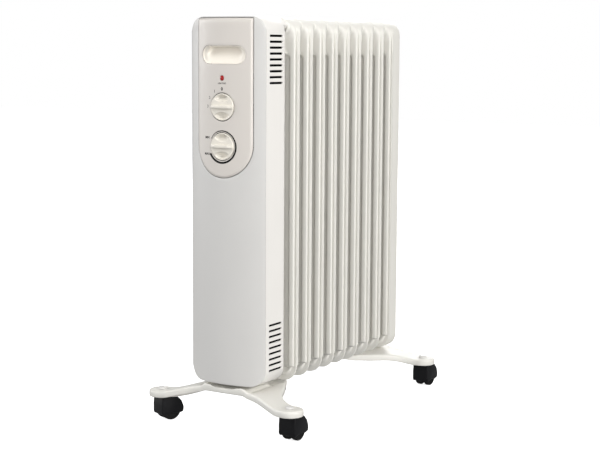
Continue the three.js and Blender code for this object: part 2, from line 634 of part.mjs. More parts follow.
for (const [name, padY, inward, boltY] of [
  ['front', FRONT_PAD_Y, 1, FRONT_BOLT_Y],
  ['rear', REAR_PAD_Y, -1, REAR_BOLT_Y],
]) {
  // the middle is low enough under the fins to clear them
  let foot = footSolid(padY, inward);
  const finsFrom = inward > 0 ? HOUSING_DEPTH + 6 : 300;
  const finsTo = inward > 0 ? 150 : PAN_BACK + 1.5;
  foot = foot.subtract(box(-200, finsFrom, FIN_BOTTOM - 1, 200, finsTo, 100));
  foot = foot.subtract(box(-200, -60, HOUSING_BOTTOM - 0.9, 200, 520, 100));
  for (const side of [-1, 1]) {
    foot = foot.subtract(rod('z', BOLT_RADIUS + 0.6, 40, 80, side * BOLT_HALF, boltY, 10));
    foot = foot.subtract(rod('z', 4.5, 20, 80, side * PAD_X, padY, 10));
  }
  add(`${name}_foot`, 'cream_metal', foot);

  const bend = [];
  bend.push(new THREE.Vector3(-BOLT_HALF, boltY, FIN_BOTTOM - 24));
  bend.push(new THREE.Vector3(-BOLT_HALF, boltY, LOWER_HEADER_Z - 6));
  for (let i = 0; i <= 10; i += 1) {
    const angle = Math.PI - (Math.PI * i) / 10;
    bend.push(new THREE.Vector3(
      BOLT_HALF * Math.cos(angle),
      boltY,
      LOWER_HEADER_Z + BOLT_HALF * Math.sin(angle),
    ));
  }
  bend.push(new THREE.Vector3(BOLT_HALF, boltY, LOWER_HEADER_Z - 6));
  bend.push(new THREE.Vector3(BOLT_HALF, boltY, FIN_BOTTOM - 24));
  add(`${name}_u_bolt`, 'steel', sweep(bend, BOLT_RADIUS, new THREE.Vector3(0, 1, 0)));
  for (const [sideName, side] of [['left', -1], ['right', 1]]) {
    const x = side * BOLT_HALF;
    const top = FOOT_LINE[0][2] - CLEARANCE;
    add(`${name}_wing_nut_${sideName}`, 'steel', rod('z', 6, top - 8, top, x, boltY, 12)
      .add(box(x - 13, boltY - 1.3, top - 14, x - 3.5, boltY + 1.3, top - 4.5))
      .add(box(x + 3.5, boltY - 1.3, top - 14, x + 13, boltY + 1.3, top - 4.5))
      .subtract(rod('z', BOLT_RADIUS + CLEARANCE, top - 16, top + 1, x, boltY, 10)));
  }
}

// ---- castors ---------------------------------------------------------------
const AXLE_Z = WHEEL_RADIUS;
const AXLE_RADIUS = 3;
const FORK_HALF = 3.2; // half the web between a castor's two wheels
const CHEEK = 1.8;
const WHEEL_AIR = 1.2;
const STEM_RADIUS = 4;

// Each castor is drawn trailing towards +Y about its own stem, then turned and moved to its pad.
function place(solid, turn, x, y) {
  return solid.rotate(0, 0, turn).translate(x, y, 0);
}

const hoodProfile = polygon([
  [-8, HOOD_TOP],
  [-9.5, 27],
  [-9.5, 13],
  [-7, 8.5],
  [CASTOR_TRAIL - 1, 12],
  [CASTOR_TRAIL + 10, 9.5],
  [CASTOR_TRAIL + 21, 12],
  [CASTOR_TRAIL + 22, 20],
  [CASTOR_TRAIL + 18, 31],
  [CASTOR_TRAIL + 9, HOOD_TOP - 1],
]);
let hoodSolid = carryX(hoodProfile, -HOOD_HALF, HOOD_HALF);
for (const cheek of [-1, 1]) {
  const near = Math.min(cheek * FORK_HALF, cheek * (HOOD_HALF - CHEEK));
  const far = Math.max(cheek * FORK_HALF, cheek * (HOOD_HALF - CHEEK));
  const room = WHEEL_RADIUS + WHEEL_AIR;
  hoodSolid = hoodSolid
    .subtract(rod('x', room, near, far, CASTOR_TRAIL, AXLE_Z, 14))
    .subtract(box(near, CASTOR_TRAIL - room, 0, far, CASTOR_TRAIL + room, AXLE_Z));
}
hoodSolid = hoodSolid
  .subtract(rod('x', AXLE_RADIUS + CLEARANCE, -HOOD_HALF - 1, HOOD_HALF + 1, CASTOR_TRAIL, AXLE_Z, 12))
  .add(rod('z', STEM_RADIUS, HOOD_TOP - 1, PAD_TOP + 3, 0, 0, 8));
const capSolid = rod('z', 7, PAD_TOP + CLEARANCE, PAD_TOP + 4.2, 0, 0, 10)
  .subtract(rod('z', STEM_RADIUS + CLEARANCE, PAD_TOP, PAD_TOP + 3.3, 0, 0, 8));
const axleSolid = rod('x', AXLE_RADIUS, -HOOD_HALF + 0.4, HOOD_HALF - 0.4, CASTOR_TRAIL, AXLE_Z, 10);
function wheelSolid(cheek) {
  const near = cheek * (FORK_HALF + 0.6);
  const far = cheek * (FORK_HALF + 0.6 + WHEEL_WIDTH);
  return rod('x', WHEEL_RADIUS, Math.min(near, far), Math.max(near, far), CASTOR_TRAIL, AXLE_Z, 20)
    .subtract(rod('x', AXLE_RADIUS + CLEARANCE, -HOOD_HALF, HOOD_HALF, CASTOR_TRAIL, AXLE_Z, 10));
}

// degrees each castor is turned about its stem, seen from above
const CASTORS = [
  ['front_left', -PAD_X, FRONT_PAD_Y, FRONT_LEFT_TURN],
  ['front_right', PAD_X, FRONT_PAD_Y, 0],
  ['rear_left', -PAD_X, REAR_PAD_Y, 0],
  ['rear_right', PAD_X, REAR_PAD_Y, 0],
];
for (const [corner, x, y, turn] of CASTORS) {
  const outwards = Math.sign(x);
  add(`castor_${corner}_hood`, 'black_plastic', place(hoodSolid, turn, x, y));
  add(`castor_${corner}_cap`, 'cream_plastic', place(capSolid, turn, x, y));
  add(`castor_${corner}_axle`, 'steel', place(axleSolid, turn, x, y));
  add(`castor_${corner}_wheel_outer`, 'black_rubber', place(wheelSolid(outwards), turn, x, y));
  add(`castor_${corner}_wheel_inner`, 'black_rubber', place(wheelSolid(-outwards), turn, x, y));
}

export default group;
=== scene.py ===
"""Looks of the oil filled radiator heater: pieces, finishes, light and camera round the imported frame."""
import json
import math

import bmesh
import bpy
from mathutils import Matrix, Vector
from mathutils.geometry import delaunay_2d_cdt


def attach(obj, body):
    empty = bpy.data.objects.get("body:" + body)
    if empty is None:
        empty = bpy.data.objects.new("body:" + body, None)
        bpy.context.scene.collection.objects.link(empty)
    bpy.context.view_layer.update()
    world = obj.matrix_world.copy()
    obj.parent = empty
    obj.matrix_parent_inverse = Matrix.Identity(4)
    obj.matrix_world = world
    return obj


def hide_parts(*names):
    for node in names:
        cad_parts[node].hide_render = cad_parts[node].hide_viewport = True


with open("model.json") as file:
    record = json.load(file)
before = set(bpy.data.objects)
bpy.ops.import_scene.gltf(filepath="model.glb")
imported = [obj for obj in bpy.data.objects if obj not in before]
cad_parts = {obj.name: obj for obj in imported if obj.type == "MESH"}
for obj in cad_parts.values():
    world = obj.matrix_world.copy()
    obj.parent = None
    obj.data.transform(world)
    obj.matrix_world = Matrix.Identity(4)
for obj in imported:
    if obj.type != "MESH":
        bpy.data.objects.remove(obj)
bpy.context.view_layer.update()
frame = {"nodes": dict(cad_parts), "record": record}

MM = 0.001
SHIFT_Y = -222.0 * MM  # the frame's origin is under the middle of the heater

# sizes shared with the frame, in millimetres
CROWN = 16.8
HOUSING_HALF = 71.2
HOUSING_DEPTH = 55.0
HOUSING_BOTTOM = 76.0
HOUSING_TOP = 665.0
HOUSING_CORNER = 25.0
ARC_RADIUS = (HOUSING_HALF ** 2 + CROWN ** 2) / (2 * CROWN)
EDGE_HEIGHT, EDGE_DEPTH = 11.0, 6.5  # the rolled top edge of the front
INLAY_HALF = 52.0
INLAY_CENTRE_Z = 463.0
INLAY_TOP = HOUSING_TOP - 2.6
INLAY_PROUD = 1.7
RECESS_HALF, RECESS_Z, RECESS_HEIGHT = 41.0, 605.0, 29.0
LAMP_Z = 568.6
POWER_Z, THERMOSTAT_Z = 523.0, 460.5
KNOB_RADIUS, KNOB_HOLE = 21.6, 22.8
FIN_COUNT, FIN_PITCH, FIRST_FIN_Y = 9, 40.0, 87.9
FIN_HALF, FIN_BOTTOM, FIN_TOP, FIN_CORNER = 75.0, 70.0, 664.0, 25.0
BOSS_REACH = (FIN_PITCH - 0.3) / 2  # from the middle of a fin to the end of its boss
LAST_FIN_Y = FIRST_FIN_Y + (FIN_COUNT - 1) * FIN_PITCH
BOSS_BACK = LAST_FIN_Y + BOSS_REACH
PAN_BACK = LAST_FIN_Y + 26.5
PAN_DEPTH, PAN_HOLE = 24.4, 24.5
LOWER_HEADER_Z, UPPER_HEADER_Z = FIN_BOTTOM + 62.0, FIN_TOP - 62.0
PAD_X, FRONT_PAD_Y, REAR_PAD_Y, PAD_RADIUS, PAD_TOP = 125.3, -12.0, 445.0, 22.0, 52.0


# ---------------------------------------------------------------- materials
def material(name, colour, rough, metal=0.0, coat=0.0, colour_noise=0.03, rough_noise=0.08, grain=900.0,
             bump=0.05, patch=14.0, specular=0.5):
    """A finish with fine grain in its bump, and slow changes of colour and gloss over the surface."""
    m = bpy.data.materials.new(name)
    m.use_nodes = True
    tree = m.node_tree
    shader = tree.nodes["Principled BSDF"]
    shader.inputs["Metallic"].default_value = metal
    shader.inputs["Coat Weight"].default_value = coat
    shader.inputs["Coat Roughness"].default_value = 0.15
    shader.inputs["Specular IOR Level"].default_value = specular
    place = tree.nodes.new("ShaderNodeTexCoord")

    def noise(scale, detail):
        n = tree.nodes.new("ShaderNodeTexNoise")
        n.inputs["Scale"].default_value = scale
        n.inputs["Detail"].default_value = detail
        tree.links.new(place.outputs["Object"], n.inputs["Vector"])
        return n.outputs["Fac"]

    def spread(source, low, high):
        r = tree.nodes.new("ShaderNodeMapRange")
        r.inputs["From Min"].default_value = 0.3
        r.inputs["From Max"].default_value = 0.7
        r.inputs["To Min"].default_value = low
        r.inputs["To Max"].default_value = high
        tree.links.new(source, r.inputs["Value"])
        return r.outputs["Result"]

    slow = noise(patch, 3.0)
    mix = tree.nodes.new("ShaderNodeMix")
    mix.data_type = "RGBA"
    mix.inputs["A"].default_value = (*[c * (1 - colour_noise) for c in colour], 1)
    mix.inputs["B"].default_value = (*[min(c * (1 + colour_noise), 1.0) for c in colour], 1)
    tree.links.new(spread(slow, 0.0, 1.0), mix.inputs["Factor"])
    tree.links.new(mix.outputs["Result"], shader.inputs["Base Color"])
    medium = noise(patch * 9, 2.0)
    gloss = spread(medium, max(rough - rough_noise, 0.04), rough + rough_noise)
    tree.links.new(gloss, shader.inputs["Roughness"])
    fine = noise(grain, 2.0)
    lift = tree.nodes.new("ShaderNodeBump")
    lift.inputs["Strength"].default_value = bump
    lift.inputs["Distance"].default_value = 0.0004
    tree.links.new(fine, lift.inputs["Height"])
    tree.links.new(lift.outputs["Normal"], shader.inputs["Normal"])
    return m


PAINT = material("cream_powder_coat", (0.775, 0.76, 0.71), 0.42, colour_noise=0.012, bump=0.10, grain=1400.0)
SHELL = material("cream_shell_coat", (0.82, 0.80, 0.765), 0.40, colour_noise=0.010, bump=0.08, grain=1500.0)
COVER = material("cream_moulding", (0.655, 0.645, 0.625), 0.46, colour_noise=0.012, bump=0.06,
                 grain=1800.0)
INLAY = material("pearl_inlay", (0.685, 0.645, 0.60), 0.42, coat=0.08, colour_noise=0.010, bump=0.03,
                 grain=2200.0)
CUP = material("recess_moulding", (0.88, 0.83, 0.745), 0.40, colour_noise=0.015, bump=0.05, grain=1800.0)
KNOB = material("knob_moulding", (0.80, 0.76, 0.68), 0.34, colour_noise=0.015, bump=0.05, grain=1800.0)
BLACK = material("black_moulding", (0.006, 0.006, 0.007), 0.40, colour_noise=0.15, rough_noise=0.10,
                 bump=0.10, specular=0.22, grain=1600.0, patch=30.0)
RUBBER = material("tread_rubber", (0.007, 0.007, 0.007), 0.62, colour_noise=0.2, rough_noise=0.12, bump=0.25,
                  specular=0.2, grain=1100.0, patch=40.0)
# painted shade: a near-black sheet behind the side slots, standing in for the shade inside the housing
SLOT_SHADE = material("painted_slot_shade", (0.003, 0.003, 0.003), 0.8, colour_noise=0.3, bump=0.3, specular=0.05,
                  grain=1200.0)
# painted shade: the dark wall and back seen in the gap round each dial
GAP_SHADE = material("painted_gap_shade", (0.045, 0.036, 0.028), 0.55, colour_noise=0.15, bump=0.1, grain=1600.0)
PRINT = material("black_print", (0.008, 0.008, 0.008), 0.6, colour_noise=0.1, bump=0.02, specular=0.12)
GREY_PRINT = material("grey_print", (0.10, 0.095, 0.09), 0.5, colour_noise=0.1, bump=0.02)
STEEL = material("zinc_plate", (0.52, 0.53, 0.54), 0.36, metal=1.0, colour_noise=0.06, rough_noise=0.14,
                 bump=0.08, grain=700.0, patch=60.0)
BRASS = material("plain_brass", (0.62, 0.44, 0.18), 0.34, metal=1.0, colour_noise=0.07, rough_noise=0.12,
                 bump=0.06, patch=60.0)
LENS = material("red_lens", (0.34, 0.010, 0.010), 0.16, coat=0.6, colour_noise=0.08, rough_noise=0.05,
                bump=0.02)
lens_shader = LENS.node_tree.nodes["Principled BSDF"]
lens_shader.inputs["Emission Color"].default_value = (0.9, 0.05, 0.02, 1)
lens_shader.inputs["Emission Strength"].default_value = 0.03

SLOT_FINISH = {"cream_metal": PAINT, "cream_plastic": COVER, "inlay": INLAY, "knob": KNOB,
               "black_plastic": BLACK, "black_rubber": RUBBER, "steel": STEEL, "brass": BRASS,
               "red_lens": LENS}
SLOT_OF = {entry["node"]: entry["material_slot"] for entry in frame["record"]["subparts"]}
for node_name, node in frame["nodes"].items():
    for holder in node.material_slots:
        holder.material = SLOT_FINISH[SLOT_OF[node_name]]


# ---------------------------------------------------------------- mesh helpers
def sewn(name, points, faces):
    """A mesh object with points that meet merged, and its faces pointing out."""
    mesh = bpy.data.meshes.new(name)
    mesh.from_pydata(points, [], faces)
    mesh.validate()
    work = bmesh.new()
    work.from_mesh(mesh)
    bmesh.ops.remove_doubles(work, verts=work.verts, dist=1e-6)
    bmesh.ops.recalc_face_normals(work, faces=work.faces)
    work.to_mesh(mesh)
    work.free()
    obj = bpy.data.objects.new(name, mesh)
    bpy.context.scene.collection.objects.link(obj)
    return obj


def piece(name, verts, faces, finish, nodes=(), body="heater", slot=None, sharp=35.0):
    """A finished piece from points in millimetres of the layout, riding on a body."""
    obj = sewn(name, [(x * MM, y * MM + SHIFT_Y, z * MM) for x, y, z in verts], faces)
    mesh = obj.data
    mesh.shade_smooth()
    mesh.set_sharp_from_angle(angle=math.radians(sharp))
    mesh.materials.append(finish)
    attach(obj, body)
    if nodes:
        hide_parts(*nodes)
    return obj


def front_y(x, proud=0.0):
    """Where the bowed front stands at a given x, moved out by `proud`."""
    return ARC_RADIUS - CROWN - math.sqrt((ARC_RADIUS + proud) ** 2 - x ** 2)


def face_y(x, z, proud=0.0):
    """The front face: bowed across, and rolled back over the last few millimetres at the top."""
    t = min(max((z - (HOUSING_TOP - EDGE_HEIGHT)) / EDGE_HEIGHT, 0.0), 0.985)
    return front_y(x, proud) + EDGE_DEPTH * (1 - math.sqrt(1 - t * t))


def stadium(half, height, cz, step=0.8):
    """A closed loop, anticlockwise seen from -Y: a slot with round ends."""
    r = height / 2
    n = max(int(math.pi * r / step), 8)
    loop = []
    for side, start in ((1, -math.pi / 2), (-1, math.pi / 2)):
        for i in range(n + 1):
            a = start + math.pi * i / n
            loop.append((side * (half - r) + r * math.cos(a), cz + r * math.sin(a)))
    return densify(loop, 3.0)


def circle(radius, cz, step=1.0):
    """A closed loop round the point at height cz."""
    n = max(int(2 * math.pi * radius / step), 16)
    turns = [2 * math.pi * i / n for i in range(n)]
    return [(radius * math.cos(a), cz + radius * math.sin(a)) for a in turns]


def rounded_box(x0, z0, x1, z1, r, step=1.5):
    """A closed loop: a rectangle with round corners."""
    n = max(int(math.pi / 2 * r / step), 6)
    loop = []
    corners = ((x1 - r, z0 + r, -90), (x1 - r, z1 - r, 0), (x0 + r, z1 - r, 90), (x0 + r, z0 + r, 180))
    for cx, cz, start in corners:
        for i in range(n + 1):
            a = math.radians(start + 90 * i / n)
            loop.append((cx + r * math.cos(a), cz + r * math.sin(a)))
    return densify(loop, 5.0)


def densify(loop, longest):
    """The loop with its long stretches divided, and points that coincide dropped."""
    out = []
    for i, a in enumerate(loop):
        b = loop[(i + 1) % len(loop)]
        span = math.dist(a, b)
        if span < 1e-5:
            continue
        cuts = max(int(math.ceil(span / longest)), 1)
        out += [(a[0] + (b[0] - a[0]) * k / cuts, a[1] + (b[1] - a[1]) * k / cuts) for k in range(cuts)]
    return out


def offset(loop, by):
    """The loop moved outwards (away from its inside) by `by`."""
    out = []
    count = len(loop)
    for i in range(count):
        ax, az = loop[i - 1]
        bx, bz = loop[(i + 1) % count]
        tx, tz = bx - ax, bz - az
        size = math.hypot(tx, tz) or 1.0
        out.append((loop[i][0] + tz / size * by, loop[i][1] - tx / size * by))
    return out


def inside(point, loop):
    """Whether the point is within the loop."""
    x, z = point
    hit = False
    for i in range(len(loop)):
        x1, z1 = loop[i]
        x2, z2 = loop[i - 1]
        if (z1 > z) != (z2 > z) and x < (x2 - x1) * (z - z1) / (z2 - z1) + x1:
            hit = not hit
    return hit


def near_loop(point, loop, margin):
    return any(abs(point[0] - a) < margin and abs(point[1] - b) < margin for a, b in loop)


def plate(outer, holes, surface, rim, hole_rim=None, grid=3.0, place=lambda u, v, h: (u, v, h)):
    """Points and faces of a sheet with rounded edges.

    outer and holes are the loops of the finished edge. rim and hole_rim step from the flat over the edge:
    each entry is (how far short of the edge, height), where height is added to surface(u, v) or is a
    function of (u, v) that gives the place itself. place(u, v, h) gives the point. The flat ends at the
    first entry.
    """
    hole_rim = hole_rim or rim
    bounds = [offset(outer, -rim[0][0])] + [offset(h, hole_rim[0][0]) for h in holes]
    coords, edges = [], []
    starts = []
    for loop in bounds:
        first = len(coords)
        starts.append(first)
        coords += [Vector(p) for p in loop]
        edges += [(first + i, first + (i + 1) % len(loop)) for i in range(len(loop))]
    us = [p[0] for p in bounds[0]]
    vs = [p[1] for p in bounds[0]]
    rows = int((max(vs) - min(vs)) / grid) + 1
    cols = int((max(us) - min(us)) / grid) + 1
    for j in range(1, rows):
        for i in range(1, cols):
            p = (min(us) + i * (max(us) - min(us)) / cols, min(vs) + j * (max(vs) - min(vs)) / rows)
            if not inside(p, bounds[0]) or any(inside(p, h) for h in bounds[1:]):
                continue
            if any(near_loop(p, loop, grid * 0.45) for loop in bounds):
                continue
            coords.append(Vector(p))
    verts2, _, tris, orig, *_ = delaunay_2d_cdt(coords, edges, [], 1, 1e-5)
    index_of = {}
    for new, olds in enumerate(orig):
        for old in olds:
            index_of[old] = new
    points = [place(v.x, v.y, surface(v.x, v.y) + rim[0][1]) for v in verts2]
    faces = []
    for tri in tris:
        c = sum((verts2[k] for k in tri), Vector((0, 0))) / len(tri)
        if any(inside(c, h) for h in bounds[1:]):
            continue
        faces.append(list(tri))
    for k, (loop, profile, sign) in enumerate([(outer, rim, -1)] + [(h, hole_rim, 1) for h in holes]):
        ring = [index_of[starts[k] + i] for i in range(len(loop))]
        for short, height in profile[1:]:
            moved = offset(loop, sign * short)
            base = len(points)
            for u, v in moved:
                points.append(place(u, v, height(u, v) if callable(height) else surface(u, v) + height))
            new = list(range(base, base + len(loop)))
            for i in range(len(loop)):
                j = (i + 1) % len(loop)
                faces.append([ring[i], ring[j], new[j], new[i]])
            ring = new
    return points, faces


def lathe(profile, axis, centre, steps=48):
    """Turns a profile of (radius, along) about an axis through centre; ends on the axis are closed."""
    verts, faces = [], []
    rings = []
    for radius, along in profile:
        ring = []
        if radius < 1e-6:
            ring = [len(verts)]
            verts.append(spun(0.0, 0.0, along, axis, centre))
        else:
            for i in range(steps):
                a = 2 * math.pi * i / steps
                ring.append(len(verts))
                verts.append(spun(radius * math.cos(a), radius * math.sin(a), along, axis, centre))
        rings.append(ring)
    for a, b in zip(rings, rings[1:]):
        for i in range(steps):
            j = (i + 1) % steps
            if len(a) == 1 and len(b) == 1:
                continue
            if len(a) == 1:
                faces.append([a[0], b[i], b[j]])
            elif len(b) == 1:
                faces.append([a[i], b[0], a[j]])
            else:
                faces.append([a[i], b[i], b[j], a[j]])
    return verts, faces


def spun(p, q, along, axis, centre):
    """A turned point: p and q across the axis, and its distance along it."""
    if axis == "x":
        return (centre[0] + along, centre[1] + p, centre[2] + q)
    if axis == "y":
        return (centre[0] + p, centre[1] + along, centre[2] + q)
    return (centre[0] + p, centre[1] + q, centre[2] + along)


def joined(*parts):
    """Several parts' points and faces as one."""
    verts, faces = [], []
    for v, f in parts:
        base = len(verts)
        verts += v
        faces += [[k + base for k in face] for face in f]
    return verts, faces


def smooth(low, high, value):
    """A soft step from 0 at low to 1 at high."""
    t = min(max((value - low) / (high - low), 0.0), 1.0)
    return t * t * (3 - 2 * t)


def spline(points, per=4):
    """Catmull-Rom through the points, `per` steps each."""
    out = []
    last = len(points) - 1
    for i in range(last):
        p0 = points[max(i - 1, 0)]
        p1, p2 = points[i], points[i + 1]
        p3 = points[min(i + 2, last)]
        for k in range(per):
            t = k / per
            out.append(tuple(
                0.5 * (2 * b + (c - a) * t + (2 * a - 5 * b + 4 * c - d) * t * t
                       + (3 * b - 3 * c + d - a) * t ** 3)
                for a, b, c, d in zip(p0, p1, p2, p3)))
    out.append(tuple(points[-1]))
    return out


# ---------------------------------------------------------------- fins
# half sections of a fin, as (inset from the outline, half thickness): thin rim, groove, bead and web
THIN_RIM = [(0, 0), (0.1, 0.8), (0.5, 1.3)]
BEAD = [(1.1, 6.1), (1.4, 7.4), (2.8, 8.6), (6.5, 9.0)]
COLUMN = THIN_RIM + [(5.0, 1.4), (9.5, 1.6), (11.5, 2.6), (9.5, 4.0), (4.0, 4.5), (1.7, 5.1)] + BEAD
COLUMN += [(9.6, 8.9), (11.0, 8.0), (12.2, 6.6), (15.0, 5.6), (38, 4.0)]
SKIRT = THIN_RIM + [(2.5, 1.6), (4.5, 1.9), (5.5, 2.8), (4.5, 3.9), (2.4, 4.5), (1.5, 5.1)] + BEAD
SKIRT += [(13.0, 9.2), (22.0, 10.5), (31.0, 19.0), (34.0, 19.7), (38, 5.0)]
TONGUE = THIN_RIM + [(3.0, 1.4), (5.6, 1.6), (7.6, 2.0), (8.8, 2.8), (10.0, 3.8), (11.4, 4.2), (13.2, 4.0)]
TONGUE += [(15.0, 3.4), (17.0, 3.1), (20.0, 3.0), (24, 3.0), (27, 2.8), (30, 2.4), (34, 2.0), (38, 1.6)]
FLANGE = [(0, t) for t in (0, 0.8, 1.4, 2.0, 2.6, 3.2, 3.9, 4.6, 5.3, 6.3, 7.6, 9.0, 11.0, 13.6, 16.4)]
FLANGE += [(0.3, 19.2), (8.0, 19.7), (38, 1.6)]
CORNER_STEPS, TOP_STEPS = 12, 10


def fin_loop(inset, levels):
    """The fin's outline inset by `inset`, the same number of points for every inset."""
    r = max(FIN_CORNER - inset, 2.0)
    cx = FIN_HALF - inset - r
    low, high = FIN_BOTTOM + inset + r, FIN_TOP - inset - r
    side = []
    for i in range(CORNER_STEPS + 1):
        a = -math.pi / 2 + math.pi / 2 * i / CORNER_STEPS
        side.append((cx + r * math.cos(a), low + r * math.sin(a)))
    for t in levels:
        side.append((FIN_HALF - inset, low + (high - low) * t))
    for i in range(CORNER_STEPS + 1):
        a = math.pi / 2 * i / CORNER_STEPS
        side.append((cx + r * math.cos(a), high + r * math.sin(a)))
    top = [(cx - 2 * cx * i / TOP_STEPS, FIN_TOP - inset) for i in range(1, TOP_STEPS)]
    bottom = [(-cx + 2 * cx * i / TOP_STEPS, FIN_BOTTOM + inset) for i in range(1, TOP_STEPS)]
    return side + top + [(-x, z) for x, z in reversed(side)] + bottom


def fin_geometry():
    """One fin about its middle plane: its section goes from tongue to column, skirt and flange."""
    # closer rows where the columns start and end
    levels = [i * 0.0022 for i in range(1, 26)]
    levels += [0.075, 0.1, 0.15, 0.22, 0.3, 0.4, 0.5, 0.6, 0.7, 0.78, 0.85]
    levels += [0.88 + i * 0.0055 for i in range(0, 21)]
    rim = fin_loop(0.0, levels)
    sections = [spline(s, 3) for s in (COLUMN, TONGUE, FLANGE, SKIRT)]
    rings = len(sections[0])
    count = len(rim)
    verts, faces = [], []
    outline_cache = {}
    grid = {}
    for side in (1, -1):
        for r in range(rings):
            for i in range(count):
                z = rim[i][1]
                column = smooth(FIN_BOTTOM + 19.5, FIN_BOTTOM + 27.0, z)
                skirt = smooth(FIN_TOP - 64.0, FIN_TOP - 44.0, z)
                flange = smooth(FIN_TOP - 46.0, FIN_TOP - 7.0, z)
                (ci, ct), (ti, tt), (fi, ft), (si, st) = (s[r] for s in sections)
                ci, ct = ci + (si - ci) * skirt, ct + (st - ct) * skirt
                inset = (ti + (ci - ti) * column) * (1 - flange) + fi * flange
                half = (tt + (ct - tt) * column) * (1 - flange) + ft * flange
                key = round(max(inset, 0.0), 2)
                if key not in outline_cache:
                    outline_cache[key] = fin_loop(key, levels)
                x, zz = outline_cache[key][i]
                grid[(side, r, i)] = len(verts)
                verts.append((x, side * half, zz))
    for side in (1, -1):
        for r in range(rings - 1):
            for i in range(count):
                j = (i + 1) % count
                faces.append([grid[(side, r, i)], grid[(side, r, j)],
                              grid[(side, r + 1, j)], grid[(side, r + 1, i)]])
    half_count = len(levels) + 2 * (CORNER_STEPS + 1)
    right = list(range(half_count))
    left = [half_count + TOP_STEPS - 1 + (half_count - 1 - i) for i in range(half_count)]
    for side in (1, -1):
        # rows across the flat web between the two columns
        for a, b in zip(right, right[1:]):
            faces.append([grid[(side, rings - 1, right[a])], grid[(side, rings - 1, right[b])],
                          grid[(side, rings - 1, left[b])], grid[(side, rings - 1, left[a])]])
        top = [right[-1]] + list(range(half_count, half_count + TOP_STEPS - 1)) + [left[-1]]
        faces.append([grid[(side, rings - 1, k)] for k in top])
        first_low = 2 * half_count + TOP_STEPS - 1
        low = [left[0]] + list(range(first_low, first_low + TOP_STEPS - 1)) + [right[0]]
        faces.append([grid[(side, rings - 1, k)] for k in low])
    return verts, faces


def header_boss(z):
    """The round boss that joins a fin to the next, flared into the web, with its weld bead."""
    end = BOSS_REACH
    profile = [(36.0, 1.2), (32.5, 1.9), (29.6, 3.4), (27.6, 6.0), (26.0, 9.5), (25.4, 14.0),
               (25.2, end - 1.6), (25.7, end - 1.0), (26.0, end - 0.4), (25.6, end), (19.2, end)]
    one = lathe(profile, "y", (0, 0, z), 56)
    two = lathe([(r, -a) for r, a in profile], "y", (0, 0, z), 56)
    return joined(one, two)


def narrowed(point):
    """The rear half of the last fin is a little smaller, so that it stands inside the end pan."""
    x, y, z = point
    if y < 1.9:
        return point
    middle, half = (FIN_BOTTOM + FIN_TOP) / 2, (FIN_TOP - FIN_BOTTOM) / 2
    return x * (FIN_HALF - 1.8) / FIN_HALF, y, middle + (z - middle) * (half - 1.8) / half


sheet_verts, sheet_faces = fin_geometry()
bosses = (header_boss(LOWER_HEADER_Z), header_boss(UPPER_HEADER_Z))
for k in range(FIN_COUNT):
    y = FIRST_FIN_Y + k * FIN_PITCH
    sheet = [narrowed(v) for v in sheet_verts] if k == FIN_COUNT - 1 else sheet_verts
    fin_verts, fin_faces = joined((sheet, sheet_faces), *bosses)
    moved = [(a, b + y, c) for a, b, c in fin_verts]
    piece(f"pressed_fin_{k + 1}", moved, fin_faces, PAINT, (f"fin_{k + 1}",), sharp=50.0)

pan_rim = [(2.4, 0.0), (1.4, 0.12), (0.7, 0.5), (0.2, 1.2), (0.0, 2.2), (0.0, PAN_DEPTH), (1.2, PAN_DEPTH),
           (1.2, 3.0)]
pan = plate(rounded_box(-FIN_HALF, FIN_BOTTOM, FIN_HALF, FIN_TOP, FIN_CORNER),
            [circle(PAN_HOLE, LOWER_HEADER_Z), circle(PAN_HOLE, UPPER_HEADER_Z)], lambda u, v: 0.0, pan_rim,
            [(0.6, 0.0), (0.2, 0.12), (0.0, 0.5), (0.0, 1.6)], grid=8.0,
            place=lambda u, v, h: (-u, PAN_BACK - h, v))
piece("rear_end_pan", *pan, PAINT, ("rear_end_panel",), sharp=32.0)


# ---------------------------------------------------------------- control housing
def loft(rings, closed_start=True):
    """Joins closed loops that have the same number of points, and closes the ends."""
    verts = [p for ring in rings for p in ring]
    n = len(rings[0])
    faces = []
    for r in range(len(rings) - 1):
        for i in range(n):
            j = (i + 1) % n
            faces.append([r * n + i, r * n + j, (r + 1) * n + j, (r + 1) * n + i])
    if closed_start:
        faces.append(list(range(n)))
    faces.append(list(range((len(rings) - 1) * n, len(rings) * n)))
    return verts, faces


def cut(verts_faces, cutters, name):
    """The first solid with the others taken out of it, as points and faces again."""
    def plain(data, label):
        return sewn(label, [tuple(c * MM for c in v) for v in data[0]], data[1])

    base = plain(verts_faces, name + "_whole")
    tool = plain(joined(*cutters), name + "_cutter")
    step = base.modifiers.new("cut", "BOOLEAN")
    step.operation = "DIFFERENCE"
    step.solver = "EXACT"
    step.object = tool
    mesh = bpy.data.meshes.new_from_object(base.evaluated_get(bpy.context.evaluated_depsgraph_get()))
    points = [tuple(c / MM for c in v.co) for v in mesh.vertices]
    for obj in (base, tool):
        bpy.data.objects.remove(obj)
    return points, [list(p.vertices) for p in mesh.polygons]


def tub_ring(inset, y):
    """The housing's outline moved inwards, with the same number of points for every inset."""
    r = HOUSING_CORNER - inset
    side = HOUSING_HALF - HOUSING_CORNER
    low, high = HOUSING_BOTTOM + HOUSING_CORNER, HOUSING_TOP - HOUSING_CORNER
    steps = 14
    loop = []
    for cx, cz, start in ((side, low, -90), (side, high, 0), (-side, high, 90), (-side, low, 180)):
        for i in range(steps + 1):
            a = math.radians(start + 90 * i / steps)
            loop.append((cx + r * math.cos(a), y, cz + r * math.sin(a)))
    return loop


WALL = 2.2
SLOT_LEVELS = [634.9 - i * 9.23 for i in range(9)] + [101.0 + i * 9.23 for i in range(9)]
SLOT_FROM, SLOT_TO, SLOT_HEIGHT = 10.6, 48.4, 3.5

